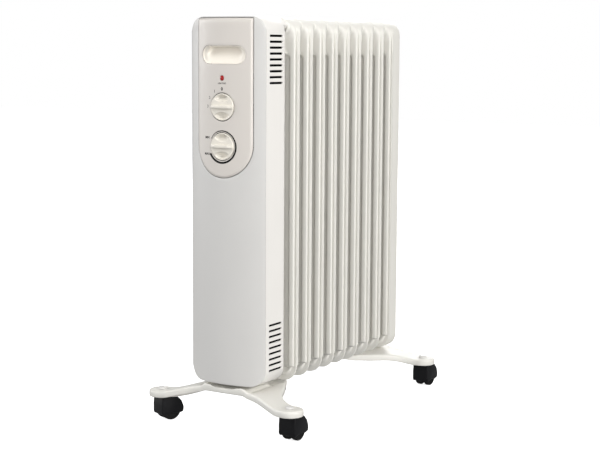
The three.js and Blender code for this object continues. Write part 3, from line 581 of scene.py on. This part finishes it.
TUB_SECTION = [(WALL, 52.8), (WALL, 0.3), (0.12, 0.3), (0.0, 0.42), (0.0, 53.4), (0.25, 54.2), (0.8, 54.8),
               (1.6, HOUSING_DEPTH)]
tub = loft([tub_ring(inset, y) for inset, y in TUB_SECTION])


def slot_cutter(z, side):
    """A round-ended cutter for one slot, a little wider at the outside."""
    rings = []
    for x, grow in ((66.0, 0.0), (70.4, 0.0), (70.9, 0.12), (71.21, 0.5), (73.0, 0.5)):
        ring = []
        r = SLOT_HEIGHT / 2 + grow
        for cy, start in ((SLOT_TO - SLOT_HEIGHT / 2, -90), (SLOT_FROM + SLOT_HEIGHT / 2, 90)):
            for i in range(7):
                a = math.radians(start + 30 * i)
                ring.append((side * x, cy + r * math.cos(a), z + r * math.sin(a)))
        rings.append(ring)
    return loft(rings)


tub = cut(tub, [slot_cutter(z, side) for z in SLOT_LEVELS for side in (-1, 1)], "tub")


def slot_shade_sheet(side):
    """A dark ribbed sheet just behind the slots of one side: painted shade, near black, standing in for the
    shaded inside of the housing.
    """
    low, high = 98.6, 638.0
    rings = []
    for k in range(60):
        y = 7.0 + 44.0 * k / 59
        x = side * (68.75 if k % 2 else 68.25)
        back = x - side * 0.6
        rings.append([(x, y, low), (back, y, low), (back, y, high), (x, y, high)])
    return loft(rings)


for side_name, side in (("left", -1), ("right", 1)):
    piece(f"slot_shade_sheet_{side_name}", *slot_shade_sheet(side), SLOT_SHADE, slot="black_plastic", sharp=20.0)


def ledge_ring(inset, y):
    """The tub's outline along the top, with a short tapering leg down each side."""
    half = []
    r = HOUSING_CORNER - inset
    cx = HOUSING_HALF - HOUSING_CORNER
    for i in range(4, 13):
        a = math.pi / 2 * i / 12
        half.append((cx + r * math.cos(a), HOUSING_TOP - HOUSING_CORNER + r * math.sin(a)))
    leg = [(46.0, 657.0), (50.0, 649.0), (57.0, 645.5), (63.0, 647.0)]
    half = leg + half
    return [(x, y, z) for x, z in half] + [(-x, y, z) for x, z in half[::-1]]


ledge = loft([ledge_ring(1.2, 54.0), ledge_ring(0.45, 55.2), ledge_ring(0.55, 60.0), ledge_ring(0.8, 67.7)])
piece("housing_tub", *joined(tub, ledge), SHELL, ("housing_shell",), sharp=32.0)

SEAM = 0.05
cover_outline = rounded_box(-HOUSING_HALF, HOUSING_BOTTOM, HOUSING_HALF, HOUSING_TOP, HOUSING_CORNER)
recess_hole = stadium(RECESS_HALF + 0.3, RECESS_HEIGHT + 0.6, RECESS_Z)
lamp_hole = rounded_box(-3.7, LAMP_Z - 4.3, 3.7, LAMP_Z + 4.3, 3.4, step=0.6)
knob_holes = [circle(KNOB_HOLE, POWER_Z), circle(KNOB_HOLE, THERMOSTAT_Z)]
panel_holes = [recess_hole, lamp_hole, *knob_holes]
inlay_outline = []
for i in range(49):
    a = math.pi + math.pi * i / 48
    inlay_outline.append((INLAY_HALF * math.cos(a), INLAY_CENTRE_Z + INLAY_HALF * math.sin(a)))
for side, start in ((1, 0.0), (-1, math.pi / 2)):
    for i in range(9):
        a = start + math.pi / 2 * i / 8
        inlay_outline.append((side * (INLAY_HALF - 3) + 3 * math.cos(a), INLAY_TOP - 3 + 3 * math.sin(a)))
inlay_outline = densify(inlay_outline, 4.0)
COVER_RIM = [(1.1, 0.0), (0.7, 0.08), (0.3, 0.32), (0.05, 0.80), (0.0, 1.4), (0.0, lambda u, v: SEAM),
             (0.8, lambda u, v: SEAM)]
COVER_HOLE_RIM = [(0.3, 0.0), (0.12, 0.08), (0.02, 0.3), (0.0, 0.7), (0.0, 3.6)]
cover = plate(cover_outline, [offset(inlay_outline, 0.95)], face_y, COVER_RIM, COVER_HOLE_RIM, grid=5.0,
              place=lambda u, v, h: (u, min(h, SEAM), v))
piece("front_moulding", *cover, COVER, ("front_cover",), sharp=32.0)

INLAY_RIM = [(3.2, 0.0), (2.9, 0.04), (2.5, 0.16), (0.9, 1.0), (0.4, 1.2), (0.1, 1.4), (0.0, 1.6),
             (0.0, 2.4)]
INLAY_HOLE_RIM = [(0.5, 0.0), (0.2, 0.08), (0.0, 0.35), (0.0, 1.0)]
inlay = plate(inlay_outline, panel_holes, lambda u, v: face_y(u, v, INLAY_PROUD), INLAY_RIM, INLAY_HOLE_RIM,
              grid=3.5, place=lambda u, v, h: (u, h, v))
piece("panel_face", *inlay, INLAY, ("panel_inlay",), sharp=24.0)


def slot_loop(half, high, cz, y_of):
    """A round-ended loop with a fixed number of points, placed at y_of(x)."""
    r = high / 2
    ring = []
    for side, start in ((1, -90), (-1, 90)):
        for i in range(17):
            a = math.radians(start + 180 * i / 16)
            ring.append((side * (half - r) + r * math.cos(a), cz + r * math.sin(a)))
        for i in range(1, 12):
            x = side * (half - r) * (1 - 2 * i / 12)
            ring.append((x, cz + side * r))
    return [(x, y_of(x), z) for x, z in ring]


def land(depth, flat):
    """Places a loop behind the bowed panel (flat 0) or on a flat across it (flat 1)."""
    level = -CROWN + depth
    return lambda x: (1 - flat) * (front_y(x) + depth) + flat * level


# the bowl and then its back, as (half length, height, middle, depth behind the panel, how flat)
CUP_FACE = [(41.0, 29.0, 605.0, 0.2, 0.0), (41.0, 29.0, 605.0, -0.75, 0.0), (40.75, 28.5, 605.0, -1.02, 0.0),
            (40.3, 27.6, 605.0, -1.05, 0.0), (39.9, 26.8, 605.0, -0.8, 0.0), (39.6, 26.2, 605.0, -0.2, 0.0),
            (39.3, 25.7, 605.0, 0.8, 0.0), (38.6, 24.9, 604.9, 1.7, 0.1), (37.0, 24.3, 604.9, 2.5, 0.2),
            (34.6, 23.6, 605.1, 3.4, 0.35), (33.2, 22.8, 605.6, 4.4, 0.5), (32.5, 20.8, 606.7, 5.8, 0.7),
            (31.9, 17.8, 608.2, 7.6, 0.9), (31.1, 14.2, 610.0, 9.6, 1.0), (30.0, 10.8, 611.6, 11.4, 1.0),
            (28.2, 7.6, 613.0, 12.8, 1.0), (25.4, 4.6, 614.2, 13.7, 1.0), (21.0, 1.6, 615.0, 14.0, 1.0)]
CUP_BACK = [(41.0, 29.0, 605.0, 0.2, 0.0), (40.4, 28.0, 605.0, 20.0, 1.0), (39.0, 26.0, 605.0, 26.0, 1.0),
            (30.0, 18.0, 605.0, 26.8, 1.0)]


def cup_wall(sections):
    rings = [slot_loop(half, high, level, land(depth, flat)) for half, high, level, depth, flat in sections]
    return loft(rings, closed_start=False)


piece("finger_recess", *joined(cup_wall(CUP_FACE), cup_wall(CUP_BACK)), CUP, ("handle_cup",), sharp=40.0)

lens_outline = rounded_box(-3.4, LAMP_Z - 4.0, 3.4, LAMP_Z + 4.0, 3.2, step=0.5)
lens = plate(lens_outline, [], lambda u, v: -CROWN - 2.3 + 0.035 * (u * u + (v - LAMP_Z) ** 2),
             [(0.7, 0.0), (0.35, 0.10), (0.1, 0.35), (0.0, 0.8), (0.0, lambda u, v: -CROWN + 5.5)], grid=0.7,
             place=lambda u, v, h: (u, h, v))
piece("power_lens", *lens, LENS, ("power_lamp_lens",), sharp=40.0)


# ---------------------------------------------------------------- knobs
KNOB_FACE = -(CROWN + 2.2)


def knob_surface(u, w):
    """How far back the knob's face is: a disc with a scoop above and below a raised grip."""
    hollow = 0.0
    for side in (1, -1):
        d = 24.0 ** 2 - u * u - ((w - side * 19.8) / 0.72) ** 2
        if d > 0:
            hollow = max(hollow, math.sqrt(d) - 17.0)
    deep = KNOB_FACE + hollow * (1 - smooth(16.0, 20.4, math.hypot(u, w)))
    fall = max(abs(w) - 2.0, 0.0)
    grip = KNOB_FACE - 4.2 + 0.10 * w * w + 2.2 * fall ** 1.5 + 3.2 * smooth(12.0, 21.5, abs(u))
    k = 0.7
    t = min(max(0.5 + 0.5 * (deep - grip) / k, 0.0), 1.0)
    return deep * (1 - t) + grip * t - k * t * (1 - t)


KNOB_BACK = -8.6


def knob_piece(name, level, body, nodes):
    outline = circle(KNOB_RADIUS, level, step=1.1)
    rim = [(1.3, 0.0), (0.85, 0.08), (0.45, 0.28), (0.15, 0.65), (0.0, 1.15),
           (0.0, lambda u, v: KNOB_BACK - 0.6), (0.6, lambda u, v: KNOB_BACK),
           (12.0, lambda u, v: KNOB_BACK)]
    dial = plate(outline, [], lambda u, v: knob_surface(u, v - level), rim, grid=0.75,
                 place=lambda u, v, h: (u, min(h, KNOB_BACK), v))
    count = len(outline)
    dial[1].append(list(range(len(dial[0]) - count, len(dial[0]))))
    return piece(name, *dial, KNOB, nodes, body, sharp=38.0)


def dial_well(name, level):
    """A dark ring wall and back seen in the gap round a dial: painted shade standing in for the shade in
    that gap.
    """
    profile = [(22.2, -15.6), (22.72, -15.6), (22.72, -4.6), (9.0, -4.6), (9.0, -5.4), (22.2, -5.4),
               (22.2, -15.6)]
    return piece(name, *lathe(profile, "y", (0, 0, level), 72), GAP_SHADE, slot="black_plastic")


dial_well("power_dial_well", POWER_Z)
dial_well("thermostat_dial_well", THERMOSTAT_Z)
knob_piece("power_dial", POWER_Z, "power_control", ("power_knob",))
knob_piece("thermostat_dial", THERMOSTAT_Z, "thermostat_control", ("thermostat_knob",))


# ---------------------------------------------------------------- printed marks
def on_panel(name, quads, finish=PRINT):
    """Thin ink on the panel face from patches given as lists of (x, z)."""
    verts, faces = [], []
    for patch in quads:
        base = len(verts)
        n = len(patch)
        verts += [(x, front_y(x, INLAY_PROUD) - 0.06, z) for x, z in patch]
        verts += [(x, front_y(x, INLAY_PROUD) + 0.05, z) for x, z in patch]
        faces.append([base + k for k in range(n)])
        faces += [[base + k, base + (k + 1) % n, base + n + (k + 1) % n, base + n + k] for k in range(n)]
    return piece(name, verts, faces, finish, slot="black_plastic")


def ring_patches(inner, outer_of, start, end, cz, steps=120):
    """Patches of a ring about a dial; its outer radius changes from the start to the end."""
    out = []
    for i in range(steps):
        quad = []
        for k, r_in in ((i, True), (i + 1, True), (i + 1, False), (i, False)):
            a = math.radians(start + (end - start) * k / steps)
            r = inner if r_in else outer_of(k / steps)
            quad.append((r * math.cos(a), cz + r * math.sin(a)))
        out.append(quad)
    return out


on_panel("thermostat_scale", ring_patches(24.1, lambda t: 24.8 + 3.0 * t ** 0.7, 150, -154, THERMOSTAT_Z))


def words(name, text, cx, cz, high, finish=PRINT, weight=0.1):
    """Small generic lettering laid on the panel face."""
    curve = bpy.data.curves.new(name + "_text", "FONT")
    curve.body = text
    curve.size = high * 1.4
    curve.align_x = "CENTER"
    curve.align_y = "CENTER"
    curve.resolution_u = 3
    curve.offset = weight
    holder = bpy.data.objects.new(name + "_text", curve)
    bpy.context.scene.collection.objects.link(holder)
    flat = bpy.data.meshes.new_from_object(holder.evaluated_get(bpy.context.evaluated_depsgraph_get()))
    bpy.data.objects.remove(holder)
    spots = [(cx + v.co.x, cz + v.co.y) for v in flat.vertices]
    patches = [[spots[k] for k in p.vertices] for p in flat.polygons]
    return on_panel(name, patches, finish)


words("lamp_label", "HEATING", 0.0, 560.2, 2.6, weight=0.05)
MARK_RADIUS = 28.4
words("power_mark_off", "0", 0.0, POWER_Z + 28.2, 5.0, weight=0.22)
words("power_mark_one", "1", -MARK_RADIUS * 0.52, POWER_Z + MARK_RADIUS * 0.86, 4.6)
words("power_mark_two", "2", -MARK_RADIUS * 0.88, POWER_Z + MARK_RADIUS * 0.5, 4.4, finish=GREY_PRINT)
words("power_mark_three", "3", -28.9, POWER_Z + 0.5, 4.4, finish=GREY_PRINT)
words("thermostat_low", "MIN", -30.0, THERMOSTAT_Z + 13.6, 3.6, weight=0.16)
words("thermostat_high", "MAX", -30.4, THERMOSTAT_Z - 12.6, 3.6, weight=0.16)


# ---------------------------------------------------------------- feet
# a foot from its middle outwards: (x, height of its top, height of its underside), then its outline
FOOT_LINE = [(0, 73.8, 61), (37, 73.8, 61), (45, 68, 57.5), (60, 65, 54), (80, 60.5, 49.5), (100, 55, 44),
             (114, PAD_TOP, 41), (160, PAD_TOP, 41)]
FOOT_FRONT = [(0, -4.6), (20, -4.4), (40, -4), (62, -4.5), (84, -12), (106, -20)]
FOOT_BACK = [(112, 24.5), (104, 27.5), (94, 33.5), (84, 44), (75, 59), (67, 77), (56, 97), (34, 132),
             (0, 132)]


def along_line(x, which):
    """The height on FOOT_LINE at x: 1 is its top, 2 its underside."""
    x = abs(x)
    for a, b in zip(FOOT_LINE, FOOT_LINE[1:]):
        if x <= b[0]:
            return a[which] + (b[which] - a[which]) * (x - a[0]) / (b[0] - a[0])
    return FOOT_LINE[-1][which]


def foot_height(x, which):
    """The foot's top (1) or underside (2) with its bends rounded."""
    reach = 1.6 if abs(x) < 48 else 5.0
    return sum(along_line(x + reach * k / 3, which) for k in range(-3, 4)) / 7


def foot_outline(pad_y, inward):
    """A foot from above: its front edge, the round pads over the castors, and its tongue under the fins."""
    front = spline(FOOT_FRONT, 4)
    arc = []
    for i in range(1, 25):
        a = math.radians(-111.6 + 216.0 * i / 25)
        arc.append((PAD_X + PAD_RADIUS * math.cos(a), PAD_RADIUS * math.sin(a)))
    back = spline(FOOT_BACK, 4)
    half = front + arc + back
    loop = half + [(-x, y) for x, y in half[1:-1][::-1]]
    loop = [(x, pad_y + inward * y) for x, y in loop]
    return densify(loop if inward > 0 else loop[::-1], 4.0)


def foot_piece(name, node, pad_y, inward):
    def ceiling(y):
        """Room under the fins and under the housing."""
        if inward > 0:
            return 74.9 - 6.2 * smooth(55.0, 62.0, y)
        return 68.7 + 6.2 * smooth(436.5, 441.0, y)

    def top(u, v):
        # the middle is dished under the housing, which leaves a dark gap behind the front rim
        height = min(foot_height(u, 1), ceiling(v))
        if inward < 0:
            return height
        edge = front_y(min(abs(u), 60.0))
        return height - 4.6 * smooth(edge - 1.4, edge + 1.2, v) * (1 - smooth(49.0, 53.0, abs(u)))

    outline = foot_outline(pad_y, inward)
    def underside(u, v):
        return foot_height(u, 2)

    rim = [(3.4, 0.0), (2.3, -0.18), (1.35, -0.62), (0.6, -1.35), (0.15, -2.4), (0.0, -3.7),
           (0.0, lambda u, v: underside(u, v) + 1.6), (0.5, lambda u, v: underside(u, v) + 0.5),
           (1.5, underside)]
    upper = plate(outline, [], top, rim, grid=2.6)
    lower = plate(outline, [], underside, [(1.5, 0.0)], grid=7.0)
    # stiffening ribs on the underside, from the middle out to each pad
    ribs = []
    for side in (-1, 1):
        for lane in (-7.0, 7.0):
            rings = []
            for k in range(9):
                x = 52.0 + 60.0 * k / 8
                y = pad_y + inward * (14.0 - 12.0 * k / 8 + lane * (1 - 0.3 * k / 8))
                z = foot_height(x, 2)
                drop = 3.0 * math.sin(math.pi * (k + 0.5) / 9) + 0.4
                rings.append([(side * x, y - 1.0, z + 1.0), (side * x, y - 0.8, z - drop),
                              (side * x, y + 0.8, z - drop), (side * x, y + 1.0, z + 1.0)])
            ribs.append(loft(rings))
    return piece(name, *joined(upper, lower, *ribs), PAINT, (node,), sharp=48.0)


foot_piece("front_foot_casting", "front_foot", FRONT_PAD_Y, 1)
foot_piece("rear_foot_casting", "rear_foot", REAR_PAD_Y, -1)

# ---------------------------------------------------------------- castors
TRAIL, AXLE_Z, WELL_RADIUS = 11.0, 17.5, 18.7
HOOD_TOP = PAD_TOP - 11.0 - 0.3
HOOD_HALF = 15.4
HOOD_SIDE = [(-8, HOOD_TOP), (-9.5, 27), (-9.5, 13), (-7, 8.5), (TRAIL - 1, 12), (TRAIL + 10, 9.5),
             (TRAIL + 21, 12), (TRAIL + 22, 20), (TRAIL + 18, 31), (TRAIL + 9, HOOD_TOP - 1)]


def eased(corners, radius, steps=4):
    """The polygon with each corner rounded off."""
    out = []
    n = len(corners)
    for i in range(n):
        before, here, after = corners[i - 1], corners[i], corners[(i + 1) % n]
        cut_a = min(radius / max(math.dist(before, here), 1e-6), 0.45)
        cut_b = min(radius / max(math.dist(after, here), 1e-6), 0.45)
        a = [h + (b - h) * cut_a for h, b in zip(here, before)]
        b = [h + (c - h) * cut_b for h, c in zip(here, after)]
        for k in range(steps + 1):
            t = k / steps
            out.append(tuple((1 - t) ** 2 * p + 2 * t * (1 - t) * h + t * t * q
                             for p, h, q in zip(a, here, b)))
    return out


def hood_geometry():
    """A castor's hood about its stem: a rounded body with two arched wells for the wheels."""
    side = eased(HOOD_SIDE, 2.4)
    rings = []
    edge = [(HOOD_HALF, 2.0), (15.15, 1.15), (14.5, 0.5), (13.5, 0.12), (12.3, 0.0)]
    for x, inset in [(-x, inset) for x, inset in edge] + edge[::-1]:
        rings.append([(x, y, z) for y, z in offset(side, -inset)])
    body = loft(rings)
    wells = []
    for cheek in (-1, 1):
        turns = [math.radians(a) for a in range(0, 181, 6)]
        arch = [(TRAIL + WELL_RADIUS * math.cos(a), AXLE_Z + WELL_RADIUS * math.sin(a)) for a in turns]
        arch += [(TRAIL - WELL_RADIUS, 2.0), (TRAIL + WELL_RADIUS, 2.0)]
        wells.append(loft([[(cheek * x, y, z) for y, z in arch] for x in (3.2, 13.6)]))
    body = cut(body, wells, "hood")
    stem = lathe([(0.0, 39.8), (4.0, 39.8), (4.0, 53.6), (3.4, 54.6), (0.0, 54.9)], "z", (0, 0, 0), 20)
    collar = lathe([(0.0, 40.2), (7.4, 40.2), (7.4, 40.75), (6.8, 40.9), (0.0, 40.9)], "z", (0, 0, 0), 28)
    return joined(body, stem, collar)


def wheel_geometry(cheek):
    """A wheel on one side of the hood: hub, web and a tread with a groove round it."""
    profile = [(3.3, 3.8), (5.8, 3.8), (6.3, 4.4), (12.6, 4.7), (13.2, 4.1), (15.2, 4.0), (16.5, 4.3),
               (17.25, 4.95), (17.5, 5.8), (17.5, 7.55), (17.05, 7.75), (17.05, 8.65), (17.5, 8.85),
               (17.5, 10.6), (17.25, 11.5), (16.5, 12.15), (15.2, 12.4), (13.4, 12.2), (12.8, 11.3),
               (7.4, 11.1), (6.8, 12.1), (6.3, 12.5), (3.3, 12.5), (3.3, 3.8)]
    return lathe([(r, cheek * a) for r, a in profile], "x", (0, TRAIL, AXLE_Z), 56)


def at_pad(data, turn, x, y):
    """Points and faces turned about the stem and moved to a foot's pad."""
    c, s = math.cos(math.radians(turn)), math.sin(math.radians(turn))
    return [(c * a - s * b + x, s * a + c * b + y, h) for a, b, h in data[0]], data[1]


hood = hood_geometry()
cap = lathe([(4.4, 52.35), (6.9, 52.35), (7.0, 52.8), (6.9, 53.6), (6.3, 54.7), (5.0, 55.6), (3.0, 56.05),
             (0.0, 56.18)], "z", (0, 0, 0), 32)
CASTORS = [("front_left", -PAD_X, FRONT_PAD_Y, -22.0), ("front_right", PAD_X, FRONT_PAD_Y, 0.0),
           ("rear_left", -PAD_X, REAR_PAD_Y, 0.0), ("rear_right", PAD_X, REAR_PAD_Y, 0.0)]
for corner, x, y, turn in CASTORS:
    name = f"castor_{corner}"
    piece(f"{corner}_castor_hood", *at_pad(hood, turn, x, y), BLACK, (f"{name}_hood",), name, sharp=24.0)
    piece(f"{corner}_stem_cap", *at_pad(cap, turn, x, y), COVER, (f"{name}_cap",), sharp=50.0)
    outwards = math.copysign(1, x)
    for which, cheek in (("outer", outwards), ("inner", -outwards)):
        wheel = f"{name}_wheel_{which}"
        piece(f"{corner}_wheel_{which}", *at_pad(wheel_geometry(cheek), turn, x, y), RUBBER, (wheel,), wheel)


# ---------------------------------------------------------------- fastenings and plugs
def tube(path, radius_at, normal, sides=14):
    """A round bar swept along a flat path, its radius given for each point."""
    rings = []
    last = len(path) - 1
    n = Vector(normal)
    for i, p in enumerate(path):
        along = (Vector(path[min(i + 1, last)]) - Vector(path[max(i - 1, 0)])).normalized()
        across = along.cross(n).normalized()
        r = radius_at(i)
        rings.append([tuple(Vector(p) + across * r * math.cos(2 * math.pi * k / sides)
                            + n * r * math.sin(2 * math.pi * k / sides)) for k in range(sides)])
    return loft(rings)


BOLT_HALF = 29.6  # half the distance between a U-bolt's legs


def u_bolt(y):
    """A threaded leg, the bend over the lower header, and the other leg."""
    thread = [46.0 + 0.55 * k for k in range(38)]
    leg = [(-BOLT_HALF, y, z) for z in thread + [80, 100, 126]]
    turns = [math.pi - math.pi * i / 24 for i in range(25)]
    bend = [(BOLT_HALF * math.cos(a), y, LOWER_HEADER_Z + BOLT_HALF * math.sin(a)) for a in turns]
    path = leg + bend + [(-x, y, z) for x, y, z in leg[::-1]]
    count = len(path)

    def radius_at(i):
        k = min(i, count - 1 - i)
        if k == 0:
            return 1.9
        return (2.5 if k % 2 else 2.2) if k < len(thread) else 2.5
    return tube(path, radius_at, (0, 1, 0))


def wing_nut(x, y):
    """A turned hub with a wing on each side, screwed up under the foot."""
    hub = lathe([(2.8, 60.7), (5.6, 60.7), (6.0, 60.3), (6.0, 58.6), (5.2, 56.4), (4.6, 53.2), (4.2, 52.7),
                 (2.8, 52.7), (2.8, 60.7)], "z", (x, y, 0), 24)
    outline = [(3.6, 54.0), (6.0, 52.4), (8.0, 48.2), (10.2, 46.8), (12.4, 47.6), (13.0, 50.2),
               (11.4, 53.6), (8.0, 55.8), (3.6, 56.2)]
    shape = eased(outline, 1.2, 3)
    wings = []
    for side in (-1, 1):
        rings = [[(x + side * p, y + d, q) for p, q in offset(shape, -i)]
                 for d, i in ((-1.3, 0.5), (-0.9, 0.05), (0.9, 0.05), (1.3, 0.5))]
        wings.append(loft(rings))
    return joined(hub, *wings)


FRONT_BOLT_Y = FIRST_FIN_Y + FIN_PITCH / 2
REAR_BOLT_Y = FIRST_FIN_Y + FIN_PITCH * (FIN_COUNT - 1.5)
for end, y in (("front", FRONT_BOLT_Y), ("rear", REAR_BOLT_Y)):
    piece(f"{end}_threaded_u_bolt", *u_bolt(y), STEEL, (f"{end}_u_bolt",), sharp=50.0)
    for side_name, side in (("left", -1), ("right", 1)):
        piece(f"{end}_winged_nut_{side_name}", *wing_nut(side * BOLT_HALF, y), STEEL,
              (f"{end}_wing_nut_{side_name}",), sharp=40.0)

# turned profiles at the end of the two headers, as (radius, how far behind the last boss)
PLUG = [(0.0, -8), (17.6, -8), (17.8, -7), (17.8, 0.3), (23.4, 0.3), (24.0, 0.9), (23.6, 2.2), (22.4, 2.95),
        (19.5, 3.0), (18.8, 2.1), (9.0, 2.1), (8.2, 2.9), (0.0, 3.0)]
WASHER = [(0.0, 0.3), (10.4, 0.3), (11.0, 0.9), (11.0, 2.3), (10.4, 2.9), (0.0, 3.0)]
plug = lathe(PLUG, "y", (0, BOSS_BACK, LOWER_HEADER_Z), 56)
piece("header_end_plug", *plug, STEEL, ("lower_header_plug",), sharp=30.0)

washer = lathe(WASHER, "y", (0, BOSS_BACK, UPPER_HEADER_Z), 40)
hexagon = [(7.5 * math.cos(math.radians(60 * k)), UPPER_HEADER_Z + 7.5 * math.sin(math.radians(60 * k)))
           for k in range(6)]
head = loft([[(x, BOSS_BACK + back, z) for x, z in offset(eased(hexagon, 0.5, 2), -inset)]
             for back, inset in ((2.5, 0.0), (8.0, 0.0), (8.7, 0.35), (9.0, 1.0))])
piece("filler_plug", *joined(washer, head), BRASS, ("oil_fill_plug",), sharp=30.0)

GAP_FROM = HOUSING_DEPTH + 0.3
GAP_TO = FIRST_FIN_Y - BOSS_REACH - 0.3
flange_profile = [(0.0, 47.0), (20.0, 47.0), (20.0, GAP_FROM), (27.4, GAP_FROM), (28.0, GAP_FROM + 0.6),
                  (28.0, GAP_FROM + 4.6), (27.2, GAP_FROM + 5.2), (26.2, GAP_FROM + 5.5),
                  (26.2, GAP_FROM + 6.7), (27.2, GAP_FROM + 7.0), (28.0, GAP_FROM + 7.6),
                  (28.0, GAP_TO - 0.6), (27.4, GAP_TO), (0.0, GAP_TO)]
flange = lathe(flange_profile, "y", (0, 0, LOWER_HEADER_Z), 56)
BEND_RADIUS, BEND_Y = 8, BOSS_BACK - 60
hairpin = [(-BEND_RADIUS, y, LOWER_HEADER_Z) for y in (39.0, 120.0, 240.0, BEND_Y)]
for i in range(1, 12):
    a = math.pi - math.pi * i / 12
    hairpin.append((BEND_RADIUS * math.cos(a), BEND_Y + BEND_RADIUS * math.sin(a), LOWER_HEADER_Z))
hairpin += [(BEND_RADIUS, y, LOWER_HEADER_Z) for y in (BEND_Y, 240.0, 120.0, 39.0)]
element = joined(flange, tube(hairpin, lambda i: 4.0, (0, 0, 1), 18))
piece("element_and_flange", *element, STEEL, ("heating_element",), sharp=30.0)
spacer_profile = [(0.0, GAP_FROM), (21.2, GAP_FROM), (22.0, GAP_FROM + 0.8), (22.0, GAP_TO - 0.8),
                  (21.2, GAP_TO), (0.0, GAP_TO)]
spacer = lathe(spacer_profile, "y", (0, 0, UPPER_HEADER_Z), 48)
piece("header_spacer_ring", *spacer, STEEL, ("upper_header_spacer",), sharp=30.0)

gland_profile = [(3.6, -75.2), (5.2, -75.2), (5.6, -74.6), (6.2, -75.2), (9.6, -75.2), (10.7, -74.7),
                 (11.0, -73.8), (11.0, -72.2), (10.6, -71.6), (8.0, -71.5), (8.0, -68.0), (7.4, -67.4),
                 (7.4, -66.6), (8.0, -66.0), (8.0, -63.8), (7.4, -63.2), (3.6, -63.2), (3.6, -75.2)]
piece("strain_relief", *lathe(gland_profile, "x", (0, 30.0, 214.0), 40), RUBBER, ("cord_gland",), sharp=30.0)

# ---------------------------------------------------------------- floor, light and camera
floor_finish = material("pale_floor", (0.93, 0.93, 0.93), 0.7, colour_noise=0.004, bump=0.02, specular=0.1,
                        grain=60.0, patch=1.5)
floor_shader = floor_finish.node_tree.nodes["Principled BSDF"]
floor_shader.inputs["Emission Color"].default_value = (1, 1, 1, 1)
floor_shader.inputs["Emission Strength"].default_value = 0.8
floor_mesh = bpy.data.meshes.new("floor")
FLOOR_HALF, FLOOR_Z = 9, -0.0005
floor_corners = [(x * FLOOR_HALF, y * FLOOR_HALF, FLOOR_Z) for x, y in ((-1, -1), (1, -1), (1, 1), (-1, 1))]
floor_mesh.from_pydata(floor_corners, [], [(0, 1, 2, 3)])
floor_mesh.materials.append(floor_finish)
floor = bpy.data.objects.new("floor", floor_mesh)
bpy.context.scene.collection.objects.link(floor)
floor.visible_diffuse = False
floor.visible_glossy = False

world = bpy.data.worlds.new("studio")
bpy.context.scene.world = world
world.use_nodes = True
sky = world.node_tree
sky.nodes.clear()
out = sky.nodes.new("ShaderNodeOutputWorld")
pick = sky.nodes.new("ShaderNodeMixShader")
seen = sky.nodes.new("ShaderNodeBackground")
lit = sky.nodes.new("ShaderNodeBackground")
path_kind = sky.nodes.new("ShaderNodeLightPath")
seen.inputs["Color"].default_value = (1, 1, 1, 1)
seen.inputs["Strength"].default_value = 1.0
lit.inputs["Color"].default_value = (0.97, 0.98, 1.0, 1)
lit.inputs["Strength"].default_value = 0.31
sky.links.new(path_kind.outputs["Is Camera Ray"], pick.inputs["Fac"])
sky.links.new(lit.outputs[0], pick.inputs[1])
sky.links.new(seen.outputs[0], pick.inputs[2])
sky.links.new(pick.outputs[0], out.inputs["Surface"])


def area_light(name, place, target, size, power, colour=(1, 1, 1)):
    """A soft rectangular lamp of `power` watts that points at the target."""
    data = bpy.data.lights.new(name, "AREA")
    data.shape = "RECTANGLE"
    data.size, data.size_y = size
    data.energy = power
    data.color = colour
    obj = bpy.data.objects.new(name, data)
    obj.location = place
    obj.rotation_euler = (Vector(target) - Vector(place)).to_track_quat("-Z", "Y").to_euler()
    bpy.context.scene.collection.objects.link(obj)
    return obj


area_light("key_light", (4.2, -0.9, 1.6), (0.0, 0.0, 0.35), (1.4, 2.4), 118.0, (1.0, 0.985, 0.96))
area_light("left_light", (-4.5, -1.9, 1.7), (0.0, 0.0, 0.35), (1.6, 2.6), 122.0)
area_light("top_light", (0.5, -1.5, 2.3), (0.0, -0.1, 0.4), (1.6, 1.6), 17.0)
area_light("back_light", (-1.6, 4.4, 2.0), (0.0, 0.2, 0.35), (2.4, 2.0), 70.0)
area_light("fill_light", (2.5, -3.1, 0.9), (0.0, 0.0, 0.35), (1.6, 1.2), 48.0)

# the view: the camera's place, and how far it is turned left, tipped down and rolled
EYE = (1.32016, -2.12812, 0.61577)
YAW, PITCH, ROLL = math.radians(31.875), math.radians(6.927), math.radians(-0.325)
forward = Vector((-math.sin(YAW) * math.cos(PITCH), math.cos(YAW) * math.cos(PITCH), -math.sin(PITCH)))
level_right = Vector((math.cos(YAW), math.sin(YAW), 0.0))
level_down = forward.cross(level_right)
right = level_right * math.cos(ROLL) + level_down * math.sin(ROLL)
down = -level_right * math.sin(ROLL) + level_down * math.cos(ROLL)
lens_data = bpy.data.cameras.new("camera")
lens_data.lens = 87.29
lens_data.sensor_width = 36.0
camera = bpy.data.objects.new("camera", lens_data)
camera.matrix_world = Matrix((
    (right.x, -down.x, -forward.x, EYE[0]),
    (right.y, -down.y, -forward.y, EYE[1]),
    (right.z, -down.z, -forward.z, EYE[2]),
    (0, 0, 0, 1)))
bpy.context.scene.collection.objects.link(camera)
bpy.context.scene.camera = camera
bpy.context.scene.view_settings.view_transform = "Standard"

bpy.context.view_layer.update()
